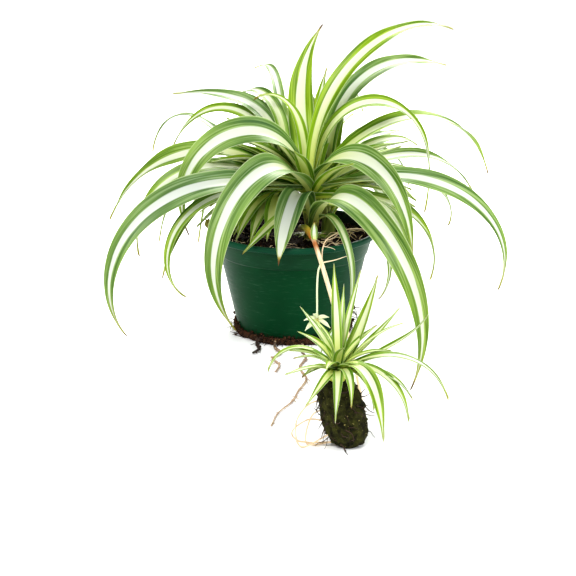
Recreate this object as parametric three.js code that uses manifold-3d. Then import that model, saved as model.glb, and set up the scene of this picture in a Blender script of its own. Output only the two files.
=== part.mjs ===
// A potted spider plant: a green grower's pot full of soil, a clump of long striped leaves, and a
// runner that arches over the rim and lies along the surface to its rooted plantlet.
// Millimetres, +Z up. The origin is the centre of the pot's foot, on the surface; the front is -Y.
import * as THREE from 'three';
import { mergeVertices } from 'three/addons/utils/BufferGeometryUtils.js';
import Module from 'manifold-3d';

const wasm = await Module();
wasm.setup();

// ---------------------------------------------------------------- driving dimensions

const GAP = 0.3; // left between pieces that touch

const POT = {
  sides: 48,
  wall: 1.5,
  floor: 1.7,
  footRadius: 37,
  stepRadius: 49.3, // top of the tapering wall
  stepHeight: 54.6,
  collarRadius: 53.2, // top of the collar, under the lip
  lipRadius: 57,
  lipBottom: 67,
  height: 71,
};
const DRAIN = { count: 6, width: 9, inner: 30, height: 4.5 };

const SOIL = { top: 64, edgeRadius: 50.6, rings: 4, sides: 36 };
const CRUST = { sides: 50, bottom: 0.5, height: 4.6, depth: 1.6 };

// Growing points of the clump, in the pot's plan, and where leaf bases sit on them.
const CROWNS = { main: [12, -6], left: [-6, 8], right: [24, 10] };
const BASE = { low: 9, rise: 22, outer: 9, inner: 2.5 }; // height over the soil and radius
const KNOB = { height: 90, radius: 21 }; // leaf bases are one body with the crown inside this ball

const BLADE = {
  thickness: 0.8,
  stepLength: 33, // one ring for each, and a few more
  baseWidth: 0.55, // share of the full width
  widest: 0.35, // along the leaf
  tipHalfWidth: 0.5,
  foldTip: 18, // degrees that each half stands above the flat
  foldBase: 55,
  foldFade: 0.12,
};

// Large leaves, kept to 5 mm and 5 degrees and bent clear of each other. Each row: growing point,
// heading, height on the growing point (0 to 1), length, width, angle it leaves at, angle it ends at,
// place and sharpness of its bend, sideways sweep and roll. Angles in degrees; 0 heads for +X, 90 +Y.
const LEAVES = [
  // standing and arching over the middle and the right
  ['main', 105, 0.5, 160, 19, 75, 30, 0.3, 2, -45, 0],
  ['main', 25, 1, 195, 14, 95, -20, 1.1, 1.5, 25, 30],
  ['right', 45, 1, 200, 13, 95, -15, 0.35, 2.5, 15, 45],
  ['main', 10, 1, 180, 12, 85, -105, 0.55, 2.5, 20, 35],
  ['main', 85, 0.7, 135, 14, 45, 10, 0.15, 2.5, -25, 0],
  ['main', 20, 1.1, 200, 15, 55, -55, 0.8, 1.5, 45, 20],
  ['right', 55, 1, 145, 8, 75, -10, 0.15, 1.5, 25, 25],
  ['right', 25, 1, 100, 8, 75, -30, 1.15, 1, 40, 35],
  ['main', 20, 1.1, 155, 12, 25, -50, 0.9, 2, 35, 30],
  // drooping in front and to the right
  ['main', -40, 1, 140, 18, 85, -85, 1.5, 1, -25, 60],
  ['main', -75, 0.1, 220, 20, 45, -115, 1.4, 1.5, 55, 60],
  ['main', -40, 1.1, 185, 14, 20, -115, 1.5, 2.5, 45, 50],
  ['right', -40, 1.1, 110, 16, 15, -125, 1.35, 4, 40, 0],
  ['main', -35, 0.9, 120, 18, 10, -115, 1.3, 2.5, 40, 0],
  ['main', -50, 0.7, 115, 6, 10, -140, 1.1, 2.5, 0, 35],
  ['right', 35, 0.8, 110, 8, 65, -60, 0.65, 1.5, 35, 35],
  ['main', -70, 0.2, 105, 7, 30, -105, 0.45, 2.5, 30, -5],
  ['main', -115, 0.5, 85, 19, 60, -40, 0.25, 4.5, 20, -10],
  ['main', -115, 1, 195, 21, 40, -130, 0.85, 2, -40, -60],
  // arching to the left
  ['main', 210, 0.8, 165, 20, 85, -115, 1.25, 1.5, -25, -60],
  ['main', 125, 0.7, 95, 8, 85, -45, 1.2, 4, 45, -35],
  ['left', 140, 1, 145, 15, 90, -10, 0.35, 3, -5, -20],
  ['left', 145, 0.8, 140, 9, 95, -70, 1.1, 1.5, 10, -55],
  ['left', 175, 1.1, 160, 21, 55, -60, 1.15, 1, -40, -35],
  ['main', 215, 1.1, 215, 18, 15, -130, 1.4, 2.5, -10, -60],
  ['left', 215, 1.1, 145, 14, 30, -105, 1.4, 2, -45, -30],
  ['main', 215, 1.1, 160, 10, 10, -150, 1.3, 3, 0, -30],
  ['left', 220, 1, 130, 10, 25, -70, 1.2, 1.5, 15, -25],
  ['main', 230, 0.5, 70, 8, 25, -25, 0.2, 2, 5, -20],
  ['left', 90, 1.1, 100, 12, 30, -5, 0.35, 1.5, 45, -15],
  ['left', 150, 1, 45, 11, 90, 10, 1.35, 1, 40, -20],
  ['left', 95, 1, 170, 8, 75, -15, 0.45, 3, 10, -10],
  ['left', 135, 1.1, 135, 10, 95, -30, 0.45, 3.5, -40, -15],
  ['main', 110, 0.7, 105, 13, 45, 25, 0.6, 3.5, -15, 15],
  ['main', 90, 0.5, 110, 13, 60, 25, 0.9, 3, 5, -5],
  ['main', 85, 0.3, 115, 13, 75, 30, 1.05, 1.5, -10, -15],
  // turned away from the front
  ['left', 140, 0.5, 155, 8, 40, -80, 0.9, 4, -5, 0],
  ['left', 120, 0.3, 165, 8, 50, -80, 0.5, 2, 10, -5],
  ['main', 100, 0.3, 135, 10, 35, -75, 0.7, 3, 0, 0],
  ['right', 85, 0.2, 170, 11, 50, -65, 0.3, 3, 10, 5],
  ['right', 60, 0.2, 155, 14, 40, -85, 0.55, 1.5, 0, 0],
  ['right', 40, 0.3, 125, 15, 35, -85, 0.7, 1, 10, 0],
  ['left', 155, 0.2, 120, 7, 30, -85, 0.65, 3, 10, -5],
  ['right', 75, 1, 140, 8, 70, -45, 0.75, 2, 0, -10],
  ['left', 105, 0.4, 130, 8, 65, -30, 0.25, 2, 10, 0],
];

// Short young leaves in the heart: growing point, heading, length, width, leaving angle, end angle.
const HEART_LEAVES = [
  ['main', 180, 75, 12, 50, 15],
  ['main', 255, 60, 11, 60, 25],
  ['main', 345, 70, 11, 50, 15],
  ['main', 165, 60, 10, 70, 35],
  ['main', 300, 60, 10, 50, 15],
  ['left', 105, 80, 12, 60, 25],
  ['left', 150, 60, 10, 50, 15],
  ['right', 60, 75, 12, 88, 53],
];

const STOLON = {
  radius: 1.55,
  taper: 0.4, // thinner by this at the plantlet
  route: [
    [5, -9, 71], [5, -20, 76], [8, -37, 79.5], [12.5, -54, 77], [16, -68, 70], [22.5, -86, 52],
    [28, -99, 34], [31, -109, 21], [32.5, -122, 8], [33, -136, 2], [32.5, -150, 1.6], [31, -161, 2],
    [28.5, -172, 9], [26, -181, 24], [25, -187, 36], [24.3, -193, 42], [24, -198.6, 44],
  ],
  steps: 33,
  branchRadius: 0.9,
  branch: [
    [28.6, -98.5, 34.5], [32, -102, 33], [35.5, -109, 22], [38.5, -122, 8], [40, -136, 1.6], [40, -152, 1.5],
    [38, -163, 3], [36, -174, 9], [33, -184, 24], [30, -190, 36], [27, -196, 42],
  ],
  branchSteps: 21,
  sheath: [[6, -28, 78.3], [8, -37, 79.5], [10.5, -46, 79], [12.5, -54, 77]],
};
// Bracts of the runner, one low at its node and one that stands up by the rim.
const BRACTS = [
  { root: [28, -99, 34.4], heading: 205, length: 22, width: 4.5, leave: -45, end: -60 },
  { root: [13.2, -56, 76.4], heading: 110, length: 13, width: 5, leave: 75, end: 105 },
];
const FLOWER = {
  stalk: [[16.7, -71.4, 64.9], [15.6, -70.8, 61], [14.9, -69.4, 50], [15, -68.4, 38], [15, -68, 28]],
  stalkRadius: 0.65,
  tepals: 6,
  tepalLength: 10,
  tepalWidth: 3.4,
};
const AERIAL_ROOT = {
  radius: 0.65,
  route: [
    [50, 8, 66], [43, -6, 71], [34.6, -20, 74], [27.8, -35, 75.5], [20.8, -50, 75], [18.4, -59, 71.5],
    [18, -62.5, 66], [18, -63.5, 60],
  ],
};
const DRAIN_ROOTS = {
  drain_root_short: { radius: 1.1, route: [[-23, -34, 3], [-24, -40, 1.8], [-22, -48, 1.6], [-26, -57, 1.6]] },
  drain_root_wavy: {
    radius: 0.9,
    route: [[-12, -39, 2.6], [-12, -46, 1.4], [-8, -56, 1.4], [-13, -67, 1.4], [-9, -79, 1.4], [-11, -92, 1.4]],
  },
  drain_root_long: {
    radius: 0.75,
    route: [
      [6, -41, 2.4], [5, -50, 1.3], [8, -66, 1.3], [4, -84, 1.3], [8, -104, 1.3], [3, -124, 1.3],
      [-1, -142, 1.3], [-9, -160, 1.3], [-13, -180, 1.3],
    ],
  },
};
const DRY_BUD = { place: [-56, -6, 74.3], radius: 3, length: 7 };

const PLANTLET = { place: [23.5, -203], plugRadius: 12.5, plugHeight: 37, lean: 6.5, crown: 42 };
// Plantlet leaves: heading, length, width, leaving angle, end angle, bend place, sharpness, sweep.
const PLANTLET_LEAVES = [
  [95, 65, 5, 85, 35, 0.5, 2, -5],
  [75, 50, 4, 80, 50, 0.5, 2, 10],
  [60, 60, 4, 70, 45, 0.7, 2, 10],
  [45, 60, 8, 35, 70, 0.3, 2, -10],
  [40, 55, 4, 25, 35, 0.5, 2, 0],
  [20, 50, 3, 45, 0, 1.4, 2, 15],
  [5, 60, 5, 25, 60, 1.2, 4, 0],
  [-15, 75, 7, 30, -75, 0.9, 2.5, 0],
  [120, 50, 4, 60, 20, 0.3, 2, 0],
  [160, 35, 3, 85, 15, 1.4, 2, -30],
  [175, 50, 6, 50, -80, 1.2, 2, 10],
  [200, 30, 4, 50, -15, 1, 2, -5],
  [235, 45, 6, 30, -5, 0.7, 2, -20],
  [255, 45, 5, 25, -35, 0.5, 2, -30],
  [-90, 50, 5, 25, -75, 0.9, 2, -10],
  [-75, 50, 5, 30, -45, 0.8, 2, -20],
  [-60, 75, 8, 40, -65, 0.8, 1.5, -25],
  [-45, 40, 6, 25, -95, 0.9, 2, -10],
  [-35, 60, 8, 35, -85, 1, 1.5, 20],
  [-25, 50, 5, 20, -60, 1.2, 2, 0],
];

const COLOURS = {
  pot: 0x14543a,
  soil: 0x2b1f17,
  crust: 0x241a12,
  crown: 0xb9c77a,
  leaf: 0x7fa24e,
  stolon: 0xe2cf9c,
  flower: 0xe6eccb,
  dryRoot: 0xb59a72,
  darkRoot: 0x4a3527,
  bud: 0x7d7a3c,
  plug: 0x2c2a17,
};

// ---------------------------------------------------------------- small helpers

const rad = THREE.MathUtils.degToRad;
const at = (list) => new THREE.Vector3(...list);

// Closed three.js geometry to a solid for joining and cutting.
function solidOf(geometry) {
  geometry.deleteAttribute('normal');
  geometry.deleteAttribute('uv');
  const merged = mergeVertices(geometry, 1e-4);
  const index = merged.index.array;
  const corners = [];
  for (let i = 0; i < index.length; i += 3) {
    const [a, b, c] = [index[i], index[i + 1], index[i + 2]];
    if (a !== b && b !== c && c !== a) {
      corners.push(a, b, c);
    }
  }
  const mesh = new wasm.Mesh({
    numProp: 3,
    vertProperties: new Float32Array(merged.attributes.position.array),
    triVerts: new Uint32Array(corners),
  });
  return new wasm.Manifold(mesh);
}

function geometryOf(solid) {
  const mesh = solid.getMesh();
  const geometry = new THREE.BufferGeometry();
  geometry.setAttribute('position', new THREE.BufferAttribute(mesh.vertProperties, 3));
  geometry.setIndex(new THREE.BufferAttribute(mesh.triVerts, 1));
  geometry.computeVertexNormals();
  return geometry;
}

function joined(solids) {
  return solids.reduce((sum, solid) => sum.add(solid));
}

// The largest piece of a solid, so that sealed hollows are filled and loose scraps dropped.
function wholePiece(solid) {
  return solid.decompose().reduce((best, piece) => (piece.volume() > best.volume() ? piece : best));
}

// A closed skin over rings of equal size, which run clockwise seen from the far end.
// Quads in the second half of a ring are split the other way, so both faces of a blade fold alike.
function loft(rings) {
  const size = rings[0].length;
  const points = rings.flat();
  const corners = [];
  for (let i = 0; i < rings.length - 1; i += 1) {
    for (let k = 0; k < size; k += 1) {
      const next = (k + 1) % size;
      const [a, b] = [i * size + k, i * size + next];
      const [d, c] = [a + size, b + size];
      if (k < size / 2) {
        corners.push(a, d, c, a, c, b);
      } else {
        corners.push(a, d, b, b, d, c);
      }
    }
  }
  const last = points.length - size;
  for (let k = 0; k < size / 2 - 1; k += 1) {
    const [a, b, c, d] = [k, k + 1, size - 2 - k, size - 1 - k];
    corners.push(a, b, d, b, c, d);
    corners.push(last + a, last + d, last + b, last + b, last + d, last + c);
  }
  const geometry = new THREE.BufferGeometry().setFromPoints(points);
  geometry.setIndex(corners);
  return geometry;
}

// A round stem along a smooth route, its radius worked out from the share of the way along.
function stem(route, radiusAt, steps, sides = 6) {
  const curve = new THREE.CatmullRomCurve3(route.map(at), false, 'centripetal');
  const frames = curve.computeFrenetFrames(steps);
  const rings = [];
  for (let i = 0; i <= steps; i += 1) {
    const share = i / steps;
    const centre = curve.getPointAt(share);
    const ring = [];
    for (let k = 0; k < sides; k += 1) {
      const turn = (-2 * Math.PI * k) / sides;
      const point = centre.clone();
      point.addScaledVector(frames.normals[i], radiusAt(share) * Math.cos(turn));
      point.addScaledVector(frames.binormals[i], radiusAt(share) * Math.sin(turn));
      ring.push(point);
    }
    rings.push(ring);
  }
  return solidOf(loft(rings));
}

// A turned solid: its profile of [radius, height] runs from the axis at the foot to the axis on top,
// or closes on itself. shift moves each point of the skin.
function turned(profile, sides, shift = null) {
  const geometry = new THREE.LatheGeometry(profile.map(([r, z]) => new THREE.Vector2(r, z)), sides);
  geometry.rotateX(Math.PI / 2);
  if (shift) {
    const place = geometry.attributes.position;
    const point = new THREE.Vector3();
    for (let i = 0; i < place.count; i += 1) {
      point.fromBufferAttribute(place, i);
      shift(point);
      place.setXYZ(i, point.x, point.y, point.z);
    }
  }
  return solidOf(geometry);
}

// Gentle lumps of about 1 mm, the same for the same place.
function lumps(x, y) {
  const broad = Math.sin(x / 7 + 1.3) * Math.cos(y / 6);
  const fine = Math.sin(x / 3.1 + y / 4.3) + 0.7 * Math.cos(x / 2.3 - y / 2.9);
  return 0.9 * broad + 0.5 * fine;
}

// ---------------------------------------------------------------- blades

// How far a leaf has turned from its leaving angle to its end angle, at a share of its length.
function turnAt(share, bend, sharpness) {
  const power = share ** sharpness;
  const half = bend ** sharpness;
  return (power * (1 + half)) / (power + half);
}

// Direction, side and upper normal of a blade at a share of its length.
function bladeFrame(leaf, share) {
  const slope = rad(leaf.leave + (leaf.end - leaf.leave) * turnAt(share, leaf.bend, leaf.sharpness));
  const heading = rad(leaf.heading + leaf.sweep * share ** 1.5);
  const along = new THREE.Vector3(
    Math.cos(slope) * Math.cos(heading),
    Math.cos(slope) * Math.sin(heading),
    Math.sin(slope),
  );
  const side = new THREE.Vector3(-Math.sin(heading), Math.cos(heading), 0);
  side.applyAxisAngle(along, rad(leaf.roll * Math.min(1, share / 0.5)));
  const up = new THREE.Vector3().crossVectors(along, side);
  return { along, side, up };
}

// Share of the full width: narrow where the leaf clasps the crown, widest by a third, then drawn out
// to a long fine point.
function widthAt(share) {
  const { baseWidth, widest } = BLADE;
  const opening = baseWidth + (1 - baseWidth) * Math.sin((Math.PI / 2) * Math.min(1, share / widest));
  const beyond = Math.max(0, (share - widest) / (1 - widest));
  return opening * Math.max(0, 1 - beyond ** 2.3) ** 1.5;
}

// Across a blade: six points of even thickness, or for a slim blade four points, thin at its edges.
function bladeSection(halfWidth, fold, slim) {
  const half = (BLADE.thickness / Math.cos(fold) / 2) * (slim ? 1.6 : 1);
  const [x, y] = [halfWidth * Math.cos(fold), halfWidth * Math.sin(fold)];
  if (slim) {
    return [[-x, y], [0, half], [x, y], [0, -half]];
  }
  return [[-x, y + half], [0, half], [x, y + half], [x, y - half], [0, -half], [-x, y - half]];
}

// One leaf: a blade folded along its middle, grown along its bending path from root.
function bladeSolid(leaf, root, steps = Math.round(3 + leaf.length / BLADE.stepLength), slim = false) {
  const rings = [];
  const place = root.clone();
  const fine = 4; // path steps for each ring
  for (let i = 0; i <= steps; i += 1) {
    const { side, up } = bladeFrame(leaf, i / steps);
    const halfWidth = Math.max(BLADE.tipHalfWidth, (leaf.width / 2) * widthAt(i / steps));
    const fade = Math.exp(-i / steps / BLADE.foldFade);
    const fold = rad(BLADE.foldTip + (BLADE.foldBase - BLADE.foldTip) * fade);
    const section = bladeSection(halfWidth, fold, slim);
    rings.push(section.map(([s, u]) => place.clone().addScaledVector(side, s).addScaledVector(up, u)));
    for (let k = 0; k < fine; k += 1) {
      const share = (i + (k + 0.5) / fine) / steps;
      if (share < 1) {
        place.addScaledVector(bladeFrame(leaf, share).along, leaf.length / steps / fine);
      }
    }
  }
  return solidOf(loft(rings));
}

// Where a leaf of the clump leaves its growing point.
function rootOn(crown, heading, level) {
  const [x, y] = CROWNS[crown];
  const radius = BASE.outer + (BASE.inner - BASE.outer) * level;
  const height = SOIL.top + BASE.low + BASE.rise * level;
  return new THREE.Vector3(
    x + radius * Math.cos(rad(heading)),
    y + radius * Math.sin(rad(heading)),
    height,
  );
}

// ---------------------------------------------------------------- pot, soil and foot

function makePot() {
  const { wall, floor, footRadius, stepRadius, stepHeight, collarRadius, lipRadius, lipBottom, height } = POT;
  const outside = [
    [0, 0], [footRadius - 1.2, 0], [footRadius, 1.2], [stepRadius, stepHeight],
    [stepRadius + 1, stepHeight + 1], [collarRadius, lipBottom - 0.8], [collarRadius + 0.6, lipBottom],
    [lipRadius - 0.8, lipBottom], [lipRadius, lipBottom + 0.8], [lipRadius, height - 0.8],
    [lipRadius - 0.8, height],
  ];
  const inside = [
    [collarRadius + 1.2, height], [collarRadius + 0.2, height - 0.9], [collarRadius - wall, lipBottom - 0.8],
    [stepRadius + 1 - wall, stepHeight + 1], [stepRadius - wall, stepHeight],
    [footRadius - wall, floor], [0, floor],
  ];
  let solid = turned([...outside, ...inside], POT.sides);
  for (let i = 0; i < DRAIN.count; i += 1) {
    const depth = 12;
    const slot = new THREE.BoxGeometry(depth, DRAIN.width, DRAIN.height + 1);
    slot.translate(DRAIN.inner + depth / 2, 0, DRAIN.height / 2 - 0.5);
    slot.rotateZ(((i + 0.5) * 2 * Math.PI) / DRAIN.count);
    solid = solid.subtract(solidOf(slot));
  }
  return solid;
}

// Inner radius of the pot at a height below its step.
function potInside(z) {
  const share = (z - POT.floor) / (POT.stepHeight - POT.floor);
  return POT.footRadius - POT.wall + (POT.stepRadius - POT.footRadius) * share;
}

function makeSoil(holes) {
  const bottom = POT.floor + GAP;
  const step = [POT.stepRadius - POT.wall - GAP - 0.05, POT.stepHeight];
  const profile = [[0, bottom], [potInside(bottom) - GAP - 0.05, bottom], step, [SOIL.edgeRadius - 0.6, SOIL.top - 3]];
  for (let i = 0; i <= SOIL.rings; i += 1) {
    profile.push([SOIL.edgeRadius * (1 - i / SOIL.rings), SOIL.top]);
  }
  const roughTop = (point) => {
    if (point.z > SOIL.top - 0.1) {
      const edge = Math.min(1, (SOIL.edgeRadius - Math.hypot(point.x, point.y)) / 6);
      point.z += 0.4 * (1 - edge) + edge * lumps(point.x, point.y);
    }
  };
  return wholePiece(turned(profile, SOIL.sides, roughTop).subtract(joined(holes)));
}

// Matted roots and soil round the foot, rough outside and fitted to the pot's wall inside.
function makeCrust(holes) {
  const { bottom, height, depth } = CRUST;
  const slope = (POT.stepRadius - POT.footRadius) / POT.stepHeight;
  const wallAt = (z) => POT.footRadius + slope * Math.max(0, z - 1.2) + GAP + 0.1;
  const profile = [
    [wallAt(bottom), bottom], [wallAt(bottom) + depth, bottom], [wallAt(height) + depth, height * 0.6],
    [wallAt(height) + depth * 0.5, height], [wallAt(height), height], [wallAt(bottom), bottom],
  ];
  const rough = (point) => {
    const radius = Math.hypot(point.x, point.y);
    const turn = Math.atan2(point.y, point.x);
    if (radius > wallAt(height) + 0.2) {
      const bulge = 0.9 + Math.sin(9 * turn) * 0.5 + Math.sin(17 * turn + 2) * 0.5 + Math.sin(29 * turn) * 0.4;
      point.x += bulge * Math.cos(turn);
      point.y += bulge * Math.sin(turn);
      point.z += point.z > 1 ? 0.6 * Math.sin(13 * turn) : 0;
    }
  };
  return wholePiece(turned(profile, CRUST.sides, rough).subtract(joined(holes)));
}

// ---------------------------------------------------------------- crown and large leaves

function ball(x, y, z, radius, sides) {
  const geometry = new THREE.SphereGeometry(radius, sides, Math.round(sides * 0.6));
  geometry.translate(x, y, z);
  return solidOf(geometry);
}

function knob(radius) {
  return joined(Object.values(CROWNS).map(([x, y]) => ball(x, y, KNOB.height, radius, 14)));
}

// The thick shared base and the three short stems, grown by extra on every side.
function makeCrownBody(extra) {
  const base = new THREE.SphereGeometry(1, 20, 12);
  base.scale(27 + extra, 18 + extra, 13 + extra);
  base.translate(10, 3, SOIL.top + 1);
  const stems = Object.values(CROWNS).map(([x, y]) => {
    const top = SOIL.top + BASE.low + BASE.rise;
    const solid = turned([[0, SOIL.top - 4], [10 + extra, SOIL.top - 4], [10.5 + extra, top - 8],
      [8.5 + extra, top], [0, top + 5]], 12);
    return solid.translate([x, y, 0]);
  });
  return joined([solidOf(base), ...stems]);
}

function leafFromRow([crown, heading, level, length, width, leave, end, bend, sharpness, sweep, roll]) {
  return { crown, heading, level, length, width, leave, end, bend, sharpness, sweep, roll };
}

function heartLeaf([crown, heading, length, width, leave, end]) {
  return leafFromRow([crown, heading, 0.95, length, width, leave, end, 0.6, 2, 0, 0]);
}

// ---------------------------------------------------------------- runner, flower and roots

function makeStolon() {
  const runner = stem(STOLON.route, (share) => STOLON.radius - STOLON.taper * share, STOLON.steps);
  const branch = stem(STOLON.branch, () => STOLON.branchRadius, STOLON.branchSteps);
  const sheath = stem(STOLON.sheath, (share) => 1.6 + 0.7 * Math.sin(Math.PI * share) ** 0.7, 6);
  const bracts = BRACTS.map(({ root, ...shape }) => {
    const leaf = { ...shape, bend: 0.6, sharpness: 2, sweep: 0, roll: 0 };
    return bladeSolid(leaf, at(root), 4, true);
  });
  return wholePiece(joined([runner, branch, sheath, ...bracts]).subtract(makeCrownBody(GAP)));
}

function makeFlower() {
  const stalk = stem(FLOWER.stalk, () => FLOWER.stalkRadius, 8, 6);
  const centre = at(FLOWER.stalk.at(-1));
  const pieces = [stalk, ball(centre.x, centre.y, centre.z, 1.8, 6)];
  for (let i = 0; i < FLOWER.tepals; i += 1) {
    const tepal = {
      heading: 20 + (i * 360) / FLOWER.tepals, length: FLOWER.tepalLength, width: FLOWER.tepalWidth,
      leave: -10, end: -55, bend: 0.6, sharpness: 2, sweep: 0, roll: 0,
    };
    pieces.push(bladeSolid(tepal, centre, 3, true));
  }
  return wholePiece(joined(pieces));
}

function makeRoot({ radius, route }, extra = 0) {
  return stem(route, (share) => radius * (1 - 0.45 * share) + extra, 3 * (route.length - 1));
}

// A small shrivelled bud on its thread of stalk, which rests on the rim.
function makeDryBud() {
  const [x, y, z] = DRY_BUD.place;
  const bud = new THREE.SphereGeometry(1, 8, 6);
  bud.scale(DRY_BUD.radius, DRY_BUD.radius * 0.8, DRY_BUD.length / 2);
  bud.rotateY(rad(-35));
  bud.translate(x, y, z);
  return solidOf(bud);
}

// ---------------------------------------------------------------- plantlet

function makePlug() {
  const { place, plugRadius, plugHeight, lean } = PLANTLET;
  const profile = [[0, 0], [6, 0], [plugRadius - 3, 2.5], [plugRadius - 0.8, 8], [plugRadius, 18],
    [plugRadius - 0.5, 28], [plugRadius - 2.5, plugHeight - 2], [plugRadius - 6, plugHeight], [0, plugHeight]];
  const rough = (point) => {
    const out = point.z > 1 ? lumps(point.x * 2.1 + point.z, point.y * 2.1 - point.z) * 0.7 : 0;
    const radius = Math.max(1e-6, Math.hypot(point.x, point.y));
    const grown = radius > 5 ? (radius + out) / radius : 1;
    point.x = place[0] + point.x * grown + lean * (1 - point.z / plugHeight);
    point.y = place[1] + point.y * grown;
  };
  return turned(profile, 24, rough);
}

function makePlantletLeaves() {
  const { place, plugHeight, crown } = PLANTLET;
  const heart = turned([[0, plugHeight + GAP], [4.5, plugHeight + GAP], [4.5, crown], [2, crown + 4],
    [0, crown + 5]], 12).translate([...place, 0]);
  const blades = PLANTLET_LEAVES.map(([heading, length, width, leave, end, bend, sharpness, sweep]) => {
    const leaf = { heading, length, width, leave, end, bend, sharpness, sweep, roll: 0 };
    return bladeSolid(leaf, new THREE.Vector3(...place, crown), 4, true);
  });
  return wholePiece(joined([heart, ...blades]));
}

// ---------------------------------------------------------------- assembly

const plant = new THREE.Group();

function place(name, solid, colour, roughness) {
  const material = new THREE.MeshStandardMaterial({ color: colour, roughness, metalness: 0 });
  const mesh = new THREE.Mesh(geometryOf(solid), material);
  mesh.name = name;
  plant.add(mesh);
}

const drainRoots = Object.entries(DRAIN_ROOTS);
const leaves = LEAVES.map(leafFromRow);
const leafSolids = leaves.map((leaf) => bladeSolid(leaf, rootOn(leaf.crown, leaf.heading, leaf.level)));
const heartSolids = HEART_LEAVES.map(heartLeaf)
  .map((leaf) => bladeSolid(leaf, rootOn(leaf.crown, leaf.heading, leaf.level), 4, true));

const inner = knob(KNOB.radius);
const outer = knob(KNOB.radius + GAP);
const roots = leaves
  .map((leaf) => bladeSolid(leaf, rootOn(leaf.crown, leaf.heading, leaf.level), undefined, true))
  .map((solid) => solid.intersect(inner));

place('pot', makePot(), COLOURS.pot, 0.4);
place('soil', makeSoil([makeCrownBody(GAP), makeRoot(AERIAL_ROOT, GAP)]), COLOURS.soil, 1);
place('soil_crust', makeCrust(drainRoots.map(([, root]) => makeRoot(root, GAP))), COLOURS.crust, 1);
place('crown', wholePiece(joined([makeCrownBody(0), ...roots, ...heartSolids])), COLOURS.crown, 0.5);
leafSolids.forEach((solid, i) => {
  place(`leaf_${String(i + 1).padStart(2, '0')}`, wholePiece(solid.subtract(outer)), COLOURS.leaf, 0.45);
});
place('stolon', makeStolon(), COLOURS.stolon, 0.5);
place('flower', makeFlower(), COLOURS.flower, 0.5);
place('aerial_root', makeRoot(AERIAL_ROOT), COLOURS.dryRoot, 0.8);
for (const [name, root] of drainRoots) {
  place(name, makeRoot(root), COLOURS.darkRoot, 0.9);
}
place('dry_bud', makeDryBud(), COLOURS.bud, 0.9);
place('plantlet_leaves', makePlantletLeaves(), COLOURS.leaf, 0.45);
place('plantlet_plug', makePlug(), COLOURS.plug, 1);

export default plant;
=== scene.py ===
import random
from functools import partial
from math import atan2, cos, exp, hypot, pi, radians, sin

import bmesh
import bpy
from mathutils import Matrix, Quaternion, Vector, noise


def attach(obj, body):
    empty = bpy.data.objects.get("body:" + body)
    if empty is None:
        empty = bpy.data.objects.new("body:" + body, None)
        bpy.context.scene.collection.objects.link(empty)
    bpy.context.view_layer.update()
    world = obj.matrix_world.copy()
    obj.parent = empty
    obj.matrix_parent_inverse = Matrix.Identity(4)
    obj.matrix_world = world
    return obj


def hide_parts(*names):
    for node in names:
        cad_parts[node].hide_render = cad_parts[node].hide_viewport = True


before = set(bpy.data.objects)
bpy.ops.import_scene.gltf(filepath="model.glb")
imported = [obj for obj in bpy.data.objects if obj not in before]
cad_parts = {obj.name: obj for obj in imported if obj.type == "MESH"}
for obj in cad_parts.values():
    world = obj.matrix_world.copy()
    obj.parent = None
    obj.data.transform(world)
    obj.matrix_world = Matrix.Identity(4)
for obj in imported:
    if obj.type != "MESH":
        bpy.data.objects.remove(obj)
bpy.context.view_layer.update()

MM = 0.001
noise.seed_set(3)  # noise_vector, which bends the hairs, would start from the clock without it

# ---------------------------------------------------------------- camera and lamps

CAMERA = {"lens": 92.1, "distance": 1000, "elevation": 17, "aim": (-3.4, 0, 28)}


def linear(code):
    """An sRGB hex colour as linear red, green, blue and full alpha."""
    parts = [int(code[i:i + 2], 16) / 255 for i in (1, 3, 5)]
    return tuple(p / 12.92 if p <= 0.04045 else ((p + 0.055) / 1.055) ** 2.4 for p in parts) + (1.0,)


def aimed(obj, place, target):
    """Puts a camera or lamp at a place in millimetres, looking at a target."""
    obj.location = Vector(place) * MM
    obj.rotation_mode = "QUATERNION"
    obj.rotation_quaternion = (Vector(place) - Vector(target)).to_track_quat("Z", "Y")
    bpy.context.collection.objects.link(obj)
    return obj


def set_camera():
    data = bpy.data.cameras.new("camera")
    data.lens = CAMERA["lens"]
    data.clip_start, data.clip_end = 0.01, 60
    rise = radians(CAMERA["elevation"])
    back = Vector((0, -cos(rise), sin(rise))) * CAMERA["distance"]
    aim = Vector(CAMERA["aim"])
    bpy.context.scene.camera = aimed(bpy.data.objects.new("camera", data), aim + back, aim)


def lamp(name, kind, place, target, strength, colour, **form):
    """A soft lamp. A sun is as soft as its angle, and a disk as its size."""
    data = bpy.data.lights.new(name, kind)
    for field, value in form.items():
        setattr(data, field, value)
    data.energy = strength
    data.color = linear(colour)[:3]
    aimed(bpy.data.objects.new(name, data), place, target)


# ---------------------------------------------------------------- materials

def add(tree, kind, inputs=(), **settings):
    """One node with its own settings. Its inputs go by name, or in the order of its sockets: each is
    a value, a hex colour, another node or one of its outputs."""
    made = tree.nodes.new("ShaderNode" + kind)
    for field, value in settings.items():
        setattr(made, field, value)
    shown = [s for s in made.inputs if s.enabled]
    for key, value in inputs.items() if isinstance(inputs, dict) else enumerate(inputs):
        socket = shown[key] if isinstance(key, int) else next(s for s in shown if s.name == key)
        if isinstance(value, bpy.types.Node):
            value = next(s for s in value.outputs if s.enabled)
        if isinstance(value, bpy.types.NodeSocket):
            tree.links.new(value, socket)
        else:
            socket.default_value = linear(value) if isinstance(value, str) else value
    return made


def new_material(name):
    """An empty material, and the function that adds a node to it."""
    material = bpy.data.materials.new(name)
    material.use_nodes = True
    material.node_tree.nodes.clear()
    return material, partial(add, material.node_tree)


def mark(node, name):
    """The three parts of a mark that the meshes carry."""
    return node("SeparateXYZ", [node("Attribute", attribute_name=name).outputs["Vector"]]).outputs


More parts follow.
